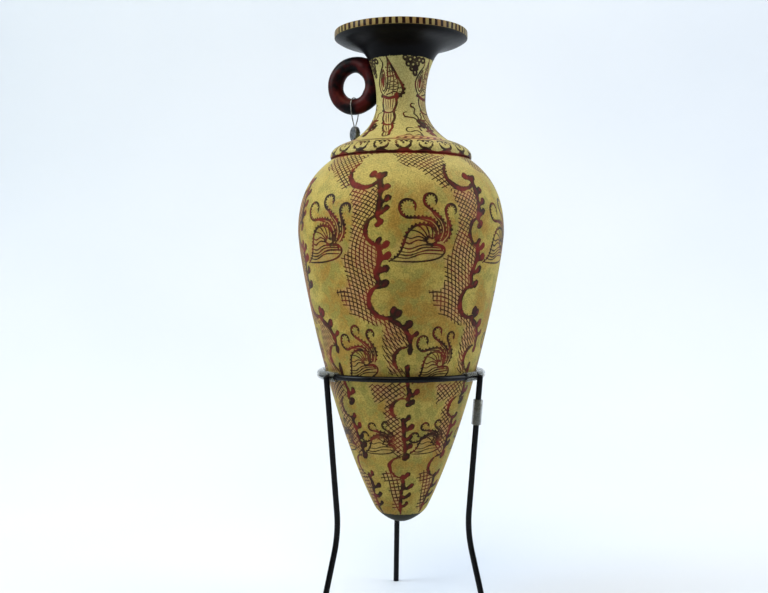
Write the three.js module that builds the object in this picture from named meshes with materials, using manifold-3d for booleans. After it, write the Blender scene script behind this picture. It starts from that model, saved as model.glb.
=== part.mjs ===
// A painted ceramic rhyton with a dished rim and a ring handle, upright in a three-legged rod stand.
// Millimetres, +Z up. The origin is on the vessel's axis, on the surface that the feet stand on,
// and the ring handle points along -X. Azimuths are in degrees from +X, counter-clockwise from above.

import * as THREE from 'three';
import { mergeVertices } from 'three/addons/utils/BufferGeometryUtils.js';
import Module from 'manifold-3d';

// Vessel: heights of its zones, from the tip upwards
const TIP_ABOVE_FLOOR = 59.4;
const TIP_HEIGHT = 10.6;
const LOWER_BODY_HEIGHT = 191.3;
const SHOULDER_HEIGHT = 48.6;
const COLLAR_HEIGHT = 13.6;
const LOWER_NECK_HEIGHT = 28.0;
const UPPER_NECK_HEIGHT = 31.0;
const DISH_HEIGHT = 11.8;
const RIM_BAND_HEIGHT = 5.1;

// Vessel: outer radii of its zones
const TIP_RADIUS = 18.2;
const BELLY_RADIUS = 71.4;
const COLLAR_FOOT_RADIUS = 48.7;
const COLLAR_RADIUS = 49.1;
const COLLAR_TOP_RADIUS = 33.4;
const WAIST_RADIUS = 17.1;
const NECK_TOP_RADIUS = 23.9;
const RIM_RADIUS = 46.3;

// Vessel: how far each curve of the outline runs straight on from its ends before it bends
const TIP_SWEEP = 3.2;
const TIP_BLUNTNESS = 8.1;
const LOWER_BODY_SWEEP = 20.6;
const TAPER_SWEEP = 68.1;
const TAPER_ANGLE = 27.0;
const SHOULDER_SWEEP = 15.5;
const SHOULDER_ANGLE = 36.9;
const SHOULDER_FULLNESS = 26.3;
const COLLAR_SWEEP = 8.0;
const COLLAR_ANGLE = 19.3;
const COLLAR_FULLNESS = 5.3;
const HIDDEN_SWEEP = 8.0;
const NECK_FLARE_SWEEP = 9.0;
const NECK_FLARE_ANGLE = 36.9;
const LOWER_NECK_SWEEP = 15.0;
const UPPER_NECK_SWEEP = 11.7;
const NECK_TOP_SWEEP = 8.6;
const NECK_TOP_ANGLE = 59.9;
const DISH_THROAT_SWEEP = 10.8;
const DISH_RIM_SWEEP = 7.7;
const DISH_RIM_ANGLE = 40.8;

// Vessel: wall, edges and openings
const WALL = 5.0;
const RIM_EDGE = 0.8;
const COLLAR_LIP_HEIGHT = 2.8;
const COLLAR_GROOVE_HEIGHT = 0.8;
const COLLAR_GROOVE_DEPTH = 0.7;
const POURING_HOLE_RADIUS = 4.0;

// Ring handle on the neck
const HANDLE_RING_RADIUS = 14.9;
const HANDLE_CLAY_RADIUS = 5.5;
const HANDLE_SET_IN = 3.4;
const HANDLE_ABOVE_WAIST = 13.4;

// Stand: a ring of rod, and three legs of the same rod welded to its outside
const ROD_RADIUS = 2.0;
const RING_ABOVE_FLOOR = 162.4;
const LEG_COUNT = 3;
const BACK_LEG_AZIMUTH = 114.8;
const LEG_TOP_ABOVE_RING = 1.2;
const KNEE_RADIUS = 50.2;
const KNEE_ABOVE_FLOOR = 57.5;
const KNEE_BEND_LENGTH = 14.0;
const FOOT_RADIUS = 64.2;
const JOINT_GAP = 0.3;

// Clear tubing: two slit sleeves that pad the ring, and a loose one on the right leg
const SLEEVE_RADIUS = 3.3;
const SLEEVE_WALL = 0.75;
const SLEEVE_SPAN = 90.0;
const SLEEVE_SLIT_ANGLE = 24.0;
const LEFT_SLEEVE_AZIMUTH = 196.0;
const RIGHT_SLEEVE_AZIMUTH = 26.0;
const LEG_NOTCH_GAP = 0.5;
const SEAT_GAP = 0.3;
const LEG_SLEEVE_LENGTH = 17.0;
const LEG_SLEEVE_BELOW_RING = 17.0;

// Lead seal, on a wire looped through the ring handle
const WIRE_RADIUS = 0.4;
const WIRE_GAP = 0.3;
const WIRE_BOW = 0.9;
const WIRE_DROP = 13.6;
const WIRE_END_SPACING = 3.0;
const SEAL_RADIUS = 5.5;
const SEAL_THICKNESS = 4.0;
const SEAL_EDGE = 0.8;
const SEAL_FACE_AZIMUTH = 227.5;

// Fineness of the faceted surfaces
const VESSEL_SIDES = 44;
const OUTSIDE_STEPS = {
  tip: 4, lowerBody: 9, shoulder: 6, collar: 4, lowerNeck: 4, upperNeck: 4, dish: 5,
};
const INSIDE_STEPS = {
  tip: 3, lowerBody: 6, shoulder: 4, behindCollar: 2, lowerNeck: 3, upperNeck: 3, dish: 3,
};
const HANDLE_SIDES = 10;
const HANDLE_STEPS = 24;
const RING_STEPS = 56;
const ROD_SIDES = 8;
const LEG_STEPS = 14;
const SLEEVE_STEPS = 12;
const SLEEVE_SIDES = 10;
const WIRE_SIDES = 6;
const WIRE_STEPS = 22;
const SEAL_SIDES = 16;
const MERGE_DISTANCE = 1e-4;

// Heights worked out from the zones
const tipCurveTop = TIP_ABOVE_FLOOR + TIP_HEIGHT;
const bellyHeight = tipCurveTop + LOWER_BODY_HEIGHT;
const collarFoot = bellyHeight + SHOULDER_HEIGHT;
const collarTop = collarFoot + COLLAR_HEIGHT;
const waistHeight = collarTop + LOWER_NECK_HEIGHT;
const neckTop = waistHeight + UPPER_NECK_HEIGHT;
const rimBandFoot = neckTop + DISH_HEIGHT;
const rimTop = rimBandFoot + RIM_BAND_HEIGHT;

const wasm = await Module();
wasm.setup();

// A point of the outline, as its distance from the axis and its height
const at = (radius, height) => new THREE.Vector2(radius, height);

// A step of a given length, at an angle above the horizontal
function step(length, degrees) {
  const angle = THREE.MathUtils.degToRad(degrees);
  return at(length * Math.cos(angle), length * Math.sin(angle));
}

// A smooth curve that leaves its first point by one step and reaches its last point from another
function sweep(from, leaving, arriving, to) {
  return new THREE.CubicBezierCurve(from, from.clone().add(leaving), to.clone().add(arriving), to);
}

// The same mesh with shared vertices and no collapsed faces, turned to face outwards
function closedMesh(geometry) {
  geometry.deleteAttribute('normal');
  geometry.deleteAttribute('uv');
  const merged = mergeVertices(geometry, MERGE_DISTANCE);
  const corners = merged.attributes.position;
  const faces = [];
  let volume = 0;
  const [a, b, c] = [new THREE.Vector3(), new THREE.Vector3(), new THREE.Vector3()];
  for (let i = 0; i < merged.index.count; i += 3) {
    const [p, q, r] = [merged.index.getX(i), merged.index.getX(i + 1), merged.index.getX(i + 2)];
    if (p === q || q === r || r === p) continue;
    faces.push([p, q, r]);
    a.fromBufferAttribute(corners, p);
    b.fromBufferAttribute(corners, q);
    c.fromBufferAttribute(corners, r);
    volume += a.dot(b.cross(c));
  }
  merged.setIndex(faces.flatMap((face) => (volume < 0 ? face.reverse() : face)));
  return merged;
}

function toSolid(geometry) {
  const merged = closedMesh(geometry);
  return new wasm.Manifold(new wasm.Mesh({
    numProp: 3,
    vertProperties: new Float32Array(merged.attributes.position.array),
    triVerts: new Uint32Array(merged.index.array),
  }));
}

function toGeometry(solid) {
  const mesh = solid.getMesh();
  const geometry = new THREE.BufferGeometry();
  geometry.setAttribute('position', new THREE.BufferAttribute(mesh.vertProperties, 3));
  geometry.setIndex(new THREE.BufferAttribute(mesh.triVerts, 1));
  geometry.computeVertexNormals();
  return geometry;
}

// A regular polygon of the given radius, as a shape to extrude
function roundSection(radius, sides) {
  const corners = Array.from({ length: sides }, (_, i) => {
    const turn = (2 * Math.PI * i) / sides;
    return at(radius * Math.cos(turn), radius * Math.sin(turn));
  });
  return new THREE.Shape(corners);
}

// A point at a distance from the vessel's axis, on an azimuth and at a height
function around(radius, azimuth, height) {
  const turn = THREE.MathUtils.degToRad(azimuth);
  return new THREE.Vector3(radius * Math.cos(turn), radius * Math.sin(turn), height);
}

// Outline of the vessel, as curves from the tip up to the rim
const tipEnd = at(0, TIP_ABOVE_FLOOR);
const tipTop = at(TIP_RADIUS, tipCurveTop);
const belly = at(BELLY_RADIUS, bellyHeight);
const collarBottom = at(COLLAR_FOOT_RADIUS, collarFoot);
const collarWide = at(COLLAR_RADIUS, collarFoot + COLLAR_LIP_HEIGHT);
const collarInner = at(COLLAR_TOP_RADIUS, collarTop);
const waist = at(WAIST_RADIUS, waistHeight);
const neckEnd = at(NECK_TOP_RADIUS, neckTop);
const rimFoot = at(RIM_RADIUS - RIM_EDGE, rimBandFoot);

const taperUp = 90 - TAPER_ANGLE;
const shoulderOut = step(SHOULDER_SWEEP, -SHOULDER_ANGLE);
const flareUp = step(NECK_FLARE_SWEEP, 180 - NECK_FLARE_ANGLE);

const curves = {
  tip: sweep(tipEnd, at(TIP_BLUNTNESS, 0), step(TIP_SWEEP, taperUp + 180), tipTop),
  lowerBody: sweep(tipTop, step(TAPER_SWEEP, taperUp), at(0, -LOWER_BODY_SWEEP), belly),
  shoulder: sweep(belly, at(0, SHOULDER_FULLNESS), shoulderOut, collarBottom),
  collar: sweep(collarWide, at(0, COLLAR_FULLNESS), step(COLLAR_SWEEP, -COLLAR_ANGLE), collarInner),
  lowerNeck: sweep(collarInner, flareUp, at(0, -LOWER_NECK_SWEEP), waist),
  upperNeck: sweep(waist, at(0, UPPER_NECK_SWEEP), step(NECK_TOP_SWEEP, -180 + NECK_TOP_ANGLE), neckEnd),
  dish: sweep(neckEnd, step(DISH_THROAT_SWEEP, NECK_TOP_ANGLE),
    step(DISH_RIM_SWEEP, -180 + DISH_RIM_ANGLE), rimFoot),
  // Inside the collar's moulding the wall goes straight on from the shoulder to the neck
  behindCollar: sweep(collarBottom, step(HIDDEN_SWEEP, 180 - SHOULDER_ANGLE),
    step(HIDDEN_SWEEP, -NECK_FLARE_ANGLE), collarInner),
};

// A curve's points, moved square to the curve by a distance towards the vessel's axis
function wallPoints(curve, steps, depth) {
  return Array.from({ length: steps + 1 }, (_, i) => {
    const point = curve.getPoint(i / steps);
    const along = curve.getTangent(i / steps);
    return at(point.x - along.y * depth, point.y + along.x * depth);
  });
}

// The part of a tip curve that lies outside the pouring hole, starting on the hole's edge
function outsideHole(points) {
  const first = points.findIndex((point) => point.x > POURING_HOLE_RADIUS);
  const [inner, outer] = [points[first - 1], points[first]];
  const share = (POURING_HOLE_RADIUS - inner.x) / (outer.x - inner.x);
  return [inner.clone().lerp(outer, share), ...points.slice(first)];
}

// Joined runs of points, with the repeated point at each join left out
function joined(...runs) {
  return runs.flatMap((run, i) => (i === 0 ? run : run.slice(1)));
}

function makeVessel() {
  const outer = (zone) => wallPoints(curves[zone], OUTSIDE_STEPS[zone], 0);
  const inner = (zone) => wallPoints(curves[zone], INSIDE_STEPS[zone], WALL);
  const body = joined(outsideHole(outer('tip')), outer('lowerBody'), outer('shoulder'));
  const groove = at(COLLAR_FOOT_RADIUS - COLLAR_GROOVE_DEPTH, collarFoot + COLLAR_GROOVE_HEIGHT);
  const collarEdge = at(COLLAR_RADIUS, collarFoot + 2 * COLLAR_GROOVE_HEIGHT);
  const neck = joined(outer('collar'), outer('lowerNeck'), outer('upperNeck'), outer('dish'));
  const rim = [
    at(RIM_RADIUS, rimBandFoot + RIM_EDGE),
    at(RIM_RADIUS, rimTop - RIM_EDGE),
    at(RIM_RADIUS - RIM_EDGE, rimTop),
    at(RIM_RADIUS - WALL + RIM_EDGE, rimTop),
  ];
  const inside = joined(
    outsideHole(inner('tip')), inner('lowerBody'), inner('shoulder'), inner('behindCollar'),
    inner('lowerNeck'), inner('upperNeck'), inner('dish'),
  );
  const profile = [...body, groove, collarEdge, ...neck, ...rim, ...inside.reverse()];
  const pot = new THREE.LatheGeometry([...profile, profile[0]], VESSEL_SIDES);
  pot.rotateX(Math.PI / 2);

  const handle = new THREE.TorusGeometry(HANDLE_RING_RADIUS, HANDLE_CLAY_RADIUS, HANDLE_SIDES, HANDLE_STEPS);
  handle.rotateX(Math.PI / 2);
  handle.translate(-handleDistance, 0, handleHeight);
  return toGeometry(toSolid(pot).add(toSolid(handle)));
}

// Where a curve's offset, a distance outside the vessel, passes a height
function offsetRadiusAt(curve, distance, height) {
  let [low, high] = [0, 1];
  const halvings = 40;
  for (let i = 0; i < halvings; i += 1) {
    const middle = (low + high) / 2;
    const point = curve.getPoint(middle);
    const along = curve.getTangent(middle);
    if (point.y - along.x * distance < height) low = middle;
    else high = middle;
  }
  const along = curve.getTangent(low);
  return curve.getPoint(low).x + along.y * distance;
}

const handleHeight = waistHeight + HANDLE_ABOVE_WAIST;
const neckRadius = offsetRadiusAt(curves.upperNeck, 0, handleHeight);
const handleDistance = neckRadius - HANDLE_SET_IN + HANDLE_CLAY_RADIUS + HANDLE_RING_RADIUS;

// The ring is as wide as lets the vessel's taper rest on the sleeves at the ring's height
const ringRadius = offsetRadiusAt(curves.lowerBody, SLEEVE_RADIUS + SEAT_GAP, RING_ABOVE_FLOOR);
const legTopRadius = ringRadius + 2 * ROD_RADIUS + JOINT_GAP;

function makeRing() {
  const ring = new THREE.TorusGeometry(ringRadius, ROD_RADIUS, ROD_SIDES, RING_STEPS);
  ring.translate(0, 0, RING_ABOVE_FLOOR);
  return closedMesh(ring);
}

// A leg leans in from the ring to its knee, bends, and runs out to its foot below floor level
function legPath(azimuth) {
  const top = around(legTopRadius, azimuth, RING_ABOVE_FLOOR + LEG_TOP_ABOVE_RING);
  const knee = around(KNEE_RADIUS, azimuth, KNEE_ABOVE_FLOOR);
  const foot = around(FOOT_RADIUS, azimuth, 0);
  const shinEnd = foot.clone().sub(knee).normalize().multiplyScalar(2 * ROD_RADIUS).add(foot);
  const bendStart = top.clone().sub(knee).setLength(KNEE_BEND_LENGTH).add(knee);
  const bendEnd = shinEnd.clone().sub(knee).setLength(KNEE_BEND_LENGTH).add(knee);
  const path = new THREE.CurvePath();
  path.add(new THREE.LineCurve3(top, bendStart));
  path.add(new THREE.QuadraticBezierCurve3(bendStart, knee, bendEnd));
  path.add(new THREE.LineCurve3(bendEnd, shinEnd));
  return path;
}

// The leg's foot is cut flat on the floor
function makeLeg(azimuth) {
  const rod = new THREE.ExtrudeGeometry(roundSection(ROD_RADIUS, ROD_SIDES), {
    steps: LEG_STEPS,
    extrudePath: legPath(azimuth),
  });
  const floorDepth = 10 * ROD_RADIUS;
  const floor = new THREE.BoxGeometry(4 * FOOT_RADIUS, 4 * FOOT_RADIUS, floorDepth);
  floor.translate(0, 0, -floorDepth / 2);
  return toGeometry(toSolid(rod).subtract(toSolid(floor)));
}

// A stretch of the ring's circle, centred on an azimuth
class RingArc extends THREE.Curve {
  constructor(azimuth, span) {
    super();
    this.azimuth = azimuth;
    this.span = span;
  }

  getPoint(share, target = new THREE.Vector3()) {
    return target.copy(around(ringRadius, this.azimuth + (share - 0.5) * this.span, RING_ABOVE_FLOOR));
  }
}

// Section of slit tubing. The section's y points to the vessel, so the slit faces outwards
function slitSection() {
  const half = THREE.MathUtils.degToRad(SLEEVE_SLIT_ANGLE / 2);
  const slit = -Math.PI / 2;
  const arc = (radius) => Array.from({ length: SLEEVE_SIDES + 1 }, (_, i) => {
    const turn = slit + half + ((2 * Math.PI - 2 * half) * i) / SLEEVE_SIDES;
    return at(radius * Math.cos(turn), radius * Math.sin(turn));
  });
  return new THREE.Shape([...arc(SLEEVE_RADIUS), ...arc(SLEEVE_RADIUS - SLEEVE_WALL).reverse()]);
}

// A sleeve on the ring, with a notch where it passes a leg
function makeRingSleeve(azimuth) {
  const tube = new THREE.ExtrudeGeometry(slitSection(), {
    steps: SLEEVE_STEPS,
    extrudePath: new RingArc(azimuth, SLEEVE_SPAN),
  });
  const notchHeight = 4 * SLEEVE_RADIUS;
  return legAzimuths.reduce((sleeve, legAzimuth) => {
    const notch = new THREE.CylinderGeometry(
      ROD_RADIUS + LEG_NOTCH_GAP, ROD_RADIUS + LEG_NOTCH_GAP, notchHeight, ROD_SIDES);
    notch.rotateX(Math.PI / 2);
    notch.translate(...around(legTopRadius, legAzimuth, RING_ABOVE_FLOOR));
    return sleeve.subtract(toSolid(notch));
  }, toSolid(tube));
}

// The loose sleeve on a leg's straight upper stretch
function makeLegSleeve(azimuth) {
  const top = around(legTopRadius, azimuth, RING_ABOVE_FLOOR + LEG_TOP_ABOVE_RING);
  const knee = around(KNEE_RADIUS, azimuth, KNEE_ABOVE_FLOOR);
  const down = knee.clone().sub(top).normalize();
  const start = top.clone().addScaledVector(down, LEG_SLEEVE_BELOW_RING);
  const end = start.clone().addScaledVector(down, LEG_SLEEVE_LENGTH);
  const section = roundSection(SLEEVE_RADIUS, SLEEVE_SIDES);
  section.holes.push(roundSection(SLEEVE_RADIUS - SLEEVE_WALL, SLEEVE_SIDES));
  return closedMesh(new THREE.ExtrudeGeometry(section, {
    steps: 1,
    extrudePath: new THREE.LineCurve3(start, end),
  }));
}

// The wire passes over the lowest stretch of the ring handle and both its ends go down to the seal
const wireCentre = handleHeight - HANDLE_RING_RADIUS;
const wireLoopRadius = HANDLE_CLAY_RADIUS + WIRE_GAP + WIRE_RADIUS;
const wireEnd = wireCentre - WIRE_DROP;

function makeSealWire() {
  const loopSteps = 8;
  const over = Array.from({ length: loopSteps + 1 }, (_, i) => {
    const turn = (Math.PI * i) / loopSteps;
    const reach = wireLoopRadius + WIRE_BOW * Math.abs(Math.cos(turn));
    return new THREE.Vector3(-handleDistance, reach * Math.cos(turn), wireCentre + reach * Math.sin(turn));
  });
  const strand = (side) => [
    new THREE.Vector3(-handleDistance, side * WIRE_END_SPACING / 2, wireEnd),
    new THREE.Vector3(-handleDistance, side * (wireLoopRadius - WIRE_BOW), wireCentre - WIRE_DROP / 2),
  ];
  const route = new THREE.CatmullRomCurve3([...strand(1), ...over, ...strand(-1).reverse()]);
  return closedMesh(new THREE.ExtrudeGeometry(roundSection(WIRE_RADIUS, WIRE_SIDES), {
    steps: WIRE_STEPS,
    extrudePath: route,
  }));
}

// The seal is a disc that hangs on edge, just below the wire's ends
function makeSeal() {
  const half = SEAL_THICKNESS / 2;
  const profile = [
    at(0, -half),
    at(SEAL_RADIUS - SEAL_EDGE, -half),
    at(SEAL_RADIUS, -half + SEAL_EDGE),
    at(SEAL_RADIUS, half - SEAL_EDGE),
    at(SEAL_RADIUS - SEAL_EDGE, half),
    at(0, half),
  ];
  return closedMesh(new THREE.LatheGeometry(profile, SEAL_SIDES));
}

const paintedClay = new THREE.MeshStandardMaterial({ color: 0xb3a765, roughness: 0.55, metalness: 0 });
const blackSteel = new THREE.MeshStandardMaterial({ color: 0x0c0d10, roughness: 0.25, metalness: 0.4 });
const clearTube = new THREE.MeshStandardMaterial({
  color: 0xdde3dc, roughness: 0.2, metalness: 0, transparent: true, opacity: 0.4,
});
const sealLead = new THREE.MeshStandardMaterial({ color: 0x6f7578, roughness: 0.5, metalness: 0.8 });
const greyWire = new THREE.MeshStandardMaterial({ color: 0x8d9295, roughness: 0.35, metalness: 0.9 });

const rhyton = new THREE.Group();

function addPiece(name, geometry, material) {
  const piece = new THREE.Mesh(geometry, material);
  piece.name = name;
  rhyton.add(piece);
  return piece;
}

const legAzimuths = Array.from({ length: LEG_COUNT }, (_, i) => BACK_LEG_AZIMUTH + (360 * i) / LEG_COUNT);
const legNames = ['stand_leg_back', 'stand_leg_left', 'stand_leg_right'];
const rightLegAzimuth = legAzimuths[legNames.indexOf('stand_leg_right')];

addPiece('rhyton', makeVessel(), paintedClay);
addPiece('stand_ring', makeRing(), blackSteel);
legAzimuths.forEach((azimuth, i) => addPiece(legNames[i], makeLeg(azimuth), blackSteel));
addPiece('ring_sleeve_left', toGeometry(makeRingSleeve(LEFT_SLEEVE_AZIMUTH)), clearTube);
addPiece('ring_sleeve_right', toGeometry(makeRingSleeve(RIGHT_SLEEVE_AZIMUTH)), clearTube);
addPiece('leg_sleeve', makeLegSleeve(rightLegAzimuth), clearTube);
addPiece('seal_wire', makeSealWire(), greyWire);

const seal = addPiece('lead_seal', makeSeal(), sealLead);
seal.rotation.set(0, 0, THREE.MathUtils.degToRad(SEAL_FACE_AZIMUTH + 90));
seal.position.set(-handleDistance, 0, wireEnd - WIRE_GAP - SEAL_RADIUS);

export default rhyton;
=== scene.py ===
"""A painted clay rhyton in its rod stand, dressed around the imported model.

Sizes are in millimetres in the classes below, and MM turns them into metres where a mesh is made.
The vessel's axis is +Z, its ring handle points along -X, and azimuths are in degrees from +X.
"""

import logging
import math
import sys
from dataclasses import dataclass, field, replace
from enum import Enum
from functools import partial
from typing import Callable, Sequence

import bmesh
import bpy
import numpy as np
from mathutils import Matrix, Vector, noise

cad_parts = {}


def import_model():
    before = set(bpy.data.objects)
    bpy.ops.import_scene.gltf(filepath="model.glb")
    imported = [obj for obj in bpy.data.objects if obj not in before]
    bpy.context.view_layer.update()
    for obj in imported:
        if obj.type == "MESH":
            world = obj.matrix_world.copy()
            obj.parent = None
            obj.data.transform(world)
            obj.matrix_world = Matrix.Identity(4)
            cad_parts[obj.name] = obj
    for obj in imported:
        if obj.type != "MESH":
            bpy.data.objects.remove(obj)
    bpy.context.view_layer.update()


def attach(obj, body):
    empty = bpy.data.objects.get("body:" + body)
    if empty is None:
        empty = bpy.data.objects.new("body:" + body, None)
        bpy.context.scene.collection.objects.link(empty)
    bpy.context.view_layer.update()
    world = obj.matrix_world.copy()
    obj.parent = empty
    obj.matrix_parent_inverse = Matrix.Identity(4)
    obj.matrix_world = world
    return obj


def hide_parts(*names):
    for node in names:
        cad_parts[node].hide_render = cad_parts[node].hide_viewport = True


MM = 0.001
MERGE_DISTANCE = 0.002
FULL_TURN = 2 * math.pi
CAMERA_AZIMUTH = -68.5
log = logging.getLogger("rhyton")

Pair = tuple[float, float]
Colour = tuple[float, float, float]
Numbers = tuple[float, ...]
Line = tuple[Pair, ...]
Array = np.ndarray
Points = Sequence[Sequence[float]] | Array
Socket = bpy.types.NodeSocket
Material = bpy.types.Material
Piece = bpy.types.Object
BMesh = bmesh.types.BMesh


# Curves


def slope_step(length: float, degrees: float) -> Array:
    """Gives the step of a length at an angle above the horizontal."""
    angle = math.radians(degrees)
    return np.array([length * math.cos(angle), length * math.sin(angle)])


def bezier(start: Pair, leaving: Sequence[float], arriving: Sequence[float], end: Pair,
           count: int) -> Array:
    """Samples a cubic curve that leaves one point by a step and reaches another from a step.

    Args:
        start: First point.
        leaving: Step from the first point to its handle.
        arriving: Step from the last point to its handle.
        end: Last point.
        count: Number of samples.

    Returns:
        The samples, one row each.
    """
    share = np.linspace(0, 1, count)[:, None]
    first, last = np.array(start, float), np.array(end, float)
    near, far = first + np.asarray(leaving, float), last + np.asarray(arriving, float)
    rest = 1 - share
    return rest**3 * first + 3 * rest**2 * share * near + 3 * rest * share**2 * far + share**3 * last


def smooth_line(points: Points, steps: int = 6) -> Array:
    """Runs a Catmull-Rom curve through the points.

    Args:
        points: The points that the curve passes.
        steps: Samples between two points.

    Returns:
        The samples, one row each.
    """
    held = np.asarray(points, float)
    held = np.vstack([2 * held[0] - held[1], held, 2 * held[-1] - held[-2]])
    share = np.linspace(0, 1, steps, endpoint=False)[:, None]
    runs = []
    for a, b, c, d in zip(held, held[1:], held[2:], held[3:]):
        runs.append(0.5 * (2 * b + (c - a) * share + (2 * a - 5 * b + 4 * c - d) * share**2
                           + (3 * b - a - 3 * c + d) * share**3))
    return np.vstack(runs + [held[-2][None]])


def arc_line(centre: Pair, radius: Pair, start: float, sweep: float, steps: int = 20) -> Array:
    """Samples an arc whose radius runs from one value to another.

    Args:
        centre: Centre of the arc.
        radius: First and last radius.
        start: First angle in degrees.
        sweep: Degrees that it turns, negative for clockwise.
        steps: Number of samples.

    Returns:
        The samples, one row each.
    """
    angle = np.radians(np.linspace(start, start + sweep, steps))
    reach = np.linspace(radius[0], radius[1], steps)
    return np.column_stack([centre[0] + reach * np.cos(angle), centre[1] + reach * np.sin(angle)])


@dataclass
class Outline:
    """The vessel's outline, worked out from the named sizes of its zones."""

    tip_above_floor: float = 59.4
    tip_height: float = 10.6
    lower_body_height: float = 191.3
    shoulder_height: float = 48.6
    collar_height: float = 13.6
    lower_neck_height: float = 28.0
    upper_neck_height: float = 31.0
    dish_height: float = 11.8
    rim_band_height: float = 5.1
    tip_radius: float = 18.2
    belly_radius: float = 71.4
    collar_foot_radius: float = 48.7
    collar_radius: float = 49.1
    collar_top_radius: float = 33.4
    waist_radius: float = 17.1
    neck_top_radius: float = 23.9
    rim_radius: float = 46.3
    wall: float = 5.0
    rim_edge: float = 0.8
    collar_lip: float = 2.8
    groove_height: float = 0.8
    groove_depth: float = 0.7
    hole_radius: float = 4.0
    hole_slope: float = 0.3
    fine_spacing: float = 0.5
    fine_samples: int = 400

    def __post_init__(self) -> None:
        """Works out the heights of the joins between the zones."""
        self.tip_top = self.tip_above_floor + self.tip_height
        self.belly_height = self.tip_top + self.lower_body_height
        self.collar_foot = self.belly_height + self.shoulder_height
        self.collar_top = self.collar_foot + self.collar_height
        self.waist_height = self.collar_top + self.lower_neck_height
        self.neck_top = self.waist_height + self.upper_neck_height
        self.band_foot = self.neck_top + self.dish_height
        self.rim_top = self.band_foot + self.rim_band_height

    def zones(self) -> dict[str, tuple]:
        """Gives each zone's curve as its start, leaving step, arriving step and end."""
        tip_end = (0.0, self.tip_above_floor)
        tip_top = (self.tip_radius, self.tip_top)
        belly = (self.belly_radius, self.belly_height)
        foot = (self.collar_foot_radius, self.collar_foot)
        wide = (self.collar_radius, self.collar_foot + self.collar_lip)
        inner = (self.collar_top_radius, self.collar_top)
        waist = (self.waist_radius, self.waist_height)
        neck = (self.neck_top_radius, self.neck_top)
        rim = (self.rim_radius - self.rim_edge, self.band_foot)
        return {
            "tip": (tip_end, (8.1, 0), slope_step(3.2, 243), tip_top),
            "lower_body": (tip_top, slope_step(68.1, 63), (0, -20.6), belly),
            "shoulder": (belly, (0, 26.3), slope_step(15.5, -36.9), foot),
            "collar": (wide, (0, 5.3), slope_step(8.0, -19.3), inner),
            "lower_neck": (inner, slope_step(9.0, 143.1), (0, -15.0), waist),
            "upper_neck": (waist, (0, 11.7), slope_step(8.6, -120.1), neck),
            "dish": (neck, slope_step(10.8, 59.9), slope_step(7.7, -139.2), rim),
            "behind_collar": (foot, slope_step(8.0, 143.1), slope_step(8.0, -36.9), inner),
        }

    def run(self, zone: str, spacing: float, depth: float = 0.0) -> Array:
        """Samples one zone evenly, moved towards the axis by a depth.

        Args:
            zone: Name of the zone.
            spacing: Distance between samples.
            depth: How far inside the outer surface.

        Returns:
            Radius and height of each sample.
        """
        fine = bezier(*self.zones()[zone], self.fine_samples)
        along = np.gradient(fine, axis=0)
        along /= np.linalg.norm(along, axis=1)[:, None]
        fine = fine + depth * np.column_stack([-along[:, 1], along[:, 0]])
        lengths = np.concatenate([[0], np.cumsum(np.linalg.norm(np.diff(fine, axis=0), axis=1))])
        count = max(2, round(lengths[-1] / spacing) + 1)
        wanted = np.linspace(0, lengths[-1], count)
        return np.column_stack([np.interp(wanted, lengths, fine[:, i]) for i in range(2)])

    def outside(self, body_spacing: float, neck_spacing: float) -> Array:
        """Gives the outer outline from the pouring hole to the rim's top edge."""
        tip = self.run("tip", body_spacing)
        tip = tip[tip[:, 0] > self.hole_radius]
        lip = tip[0, 1] - (tip[0, 0] - self.hole_radius) * self.hole_slope
        hole = np.array([[self.hole_radius, lip]])
        groove = np.array([
            [self.collar_foot_radius - self.groove_depth, self.collar_foot + self.groove_height],
            [self.collar_radius - 0.2, self.collar_foot + 1.5 * self.groove_height],
        ])
        radius, edge, corner = self.rim_radius, self.rim_edge, 0.25 * self.rim_edge
        rim = np.array([
            [radius - corner, self.band_foot + 0.3 * edge],
            [radius, self.band_foot + edge],
            [radius, self.rim_top - edge],
            [radius - corner, self.rim_top - corner],
            [radius - edge, self.rim_top],
            [radius - self.wall + edge, self.rim_top],
        ])
        body = [self.run(zone, body_spacing)[1:] for zone in ("lower_body", "shoulder")]
        neck = [self.run(zone, neck_spacing)[1:] for zone in ("lower_neck", "upper_neck", "dish")]
        return np.vstack([hole, tip, *body, groove, self.run("collar", body_spacing), *neck, rim])

    def inside(self, spacing: float) -> Array:
        """Gives the inner outline from the pouring hole up to the mouth."""
        tip = self.run("tip", spacing / 4, self.wall)
        tip = tip[tip[:, 0] > self.hole_radius]
        hole = np.array([[self.hole_radius, tip[0, 1] - 0.5]])
        zones = ("lower_body", "shoulder", "behind_collar", "lower_neck", "upper_neck", "dish")
        return np.vstack([hole, tip, *[self.run(zone, spacing, self.wall)[1:] for zone in zones]])

    def surface_line(self) -> tuple[Array, Array]:
        """Gives the painted outline and the distance along it, counted from the top of the tip curve."""
        zones = ("lower_body", "shoulder", "collar", "lower_neck", "upper_neck", "dish")
        line = np.vstack([self.run(zone, self.fine_spacing) for zone in zones])
        steps = np.linalg.norm(np.diff(line, axis=0), axis=1)
        return line, np.concatenate([[0], np.cumsum(steps)])

    def radius_at(self, zone: str, height: float, distance: float = 0.0) -> float:
        """Gives the radius of a zone's surface, or of its offset outwards, at a height."""
        line = self.run(zone, self.fine_spacing, -distance)
        order = np.argsort(line[:, 1])
        return float(np.interp(height, line[order, 1], line[order, 0]))


# Painting


class Brush(Enum):
    """The sets of fine lines that are painted over each other. Lines of one set keep apart."""

    OUTLINE = "outline"
    RIB_FIRST = "rib_first"
    RIB_SECOND = "rib_second"
    RIB_THIRD = "rib_third"
    ARM_OUTER = "arm_outer"
    ARM_MIDDLE = "arm_middle"


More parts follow.
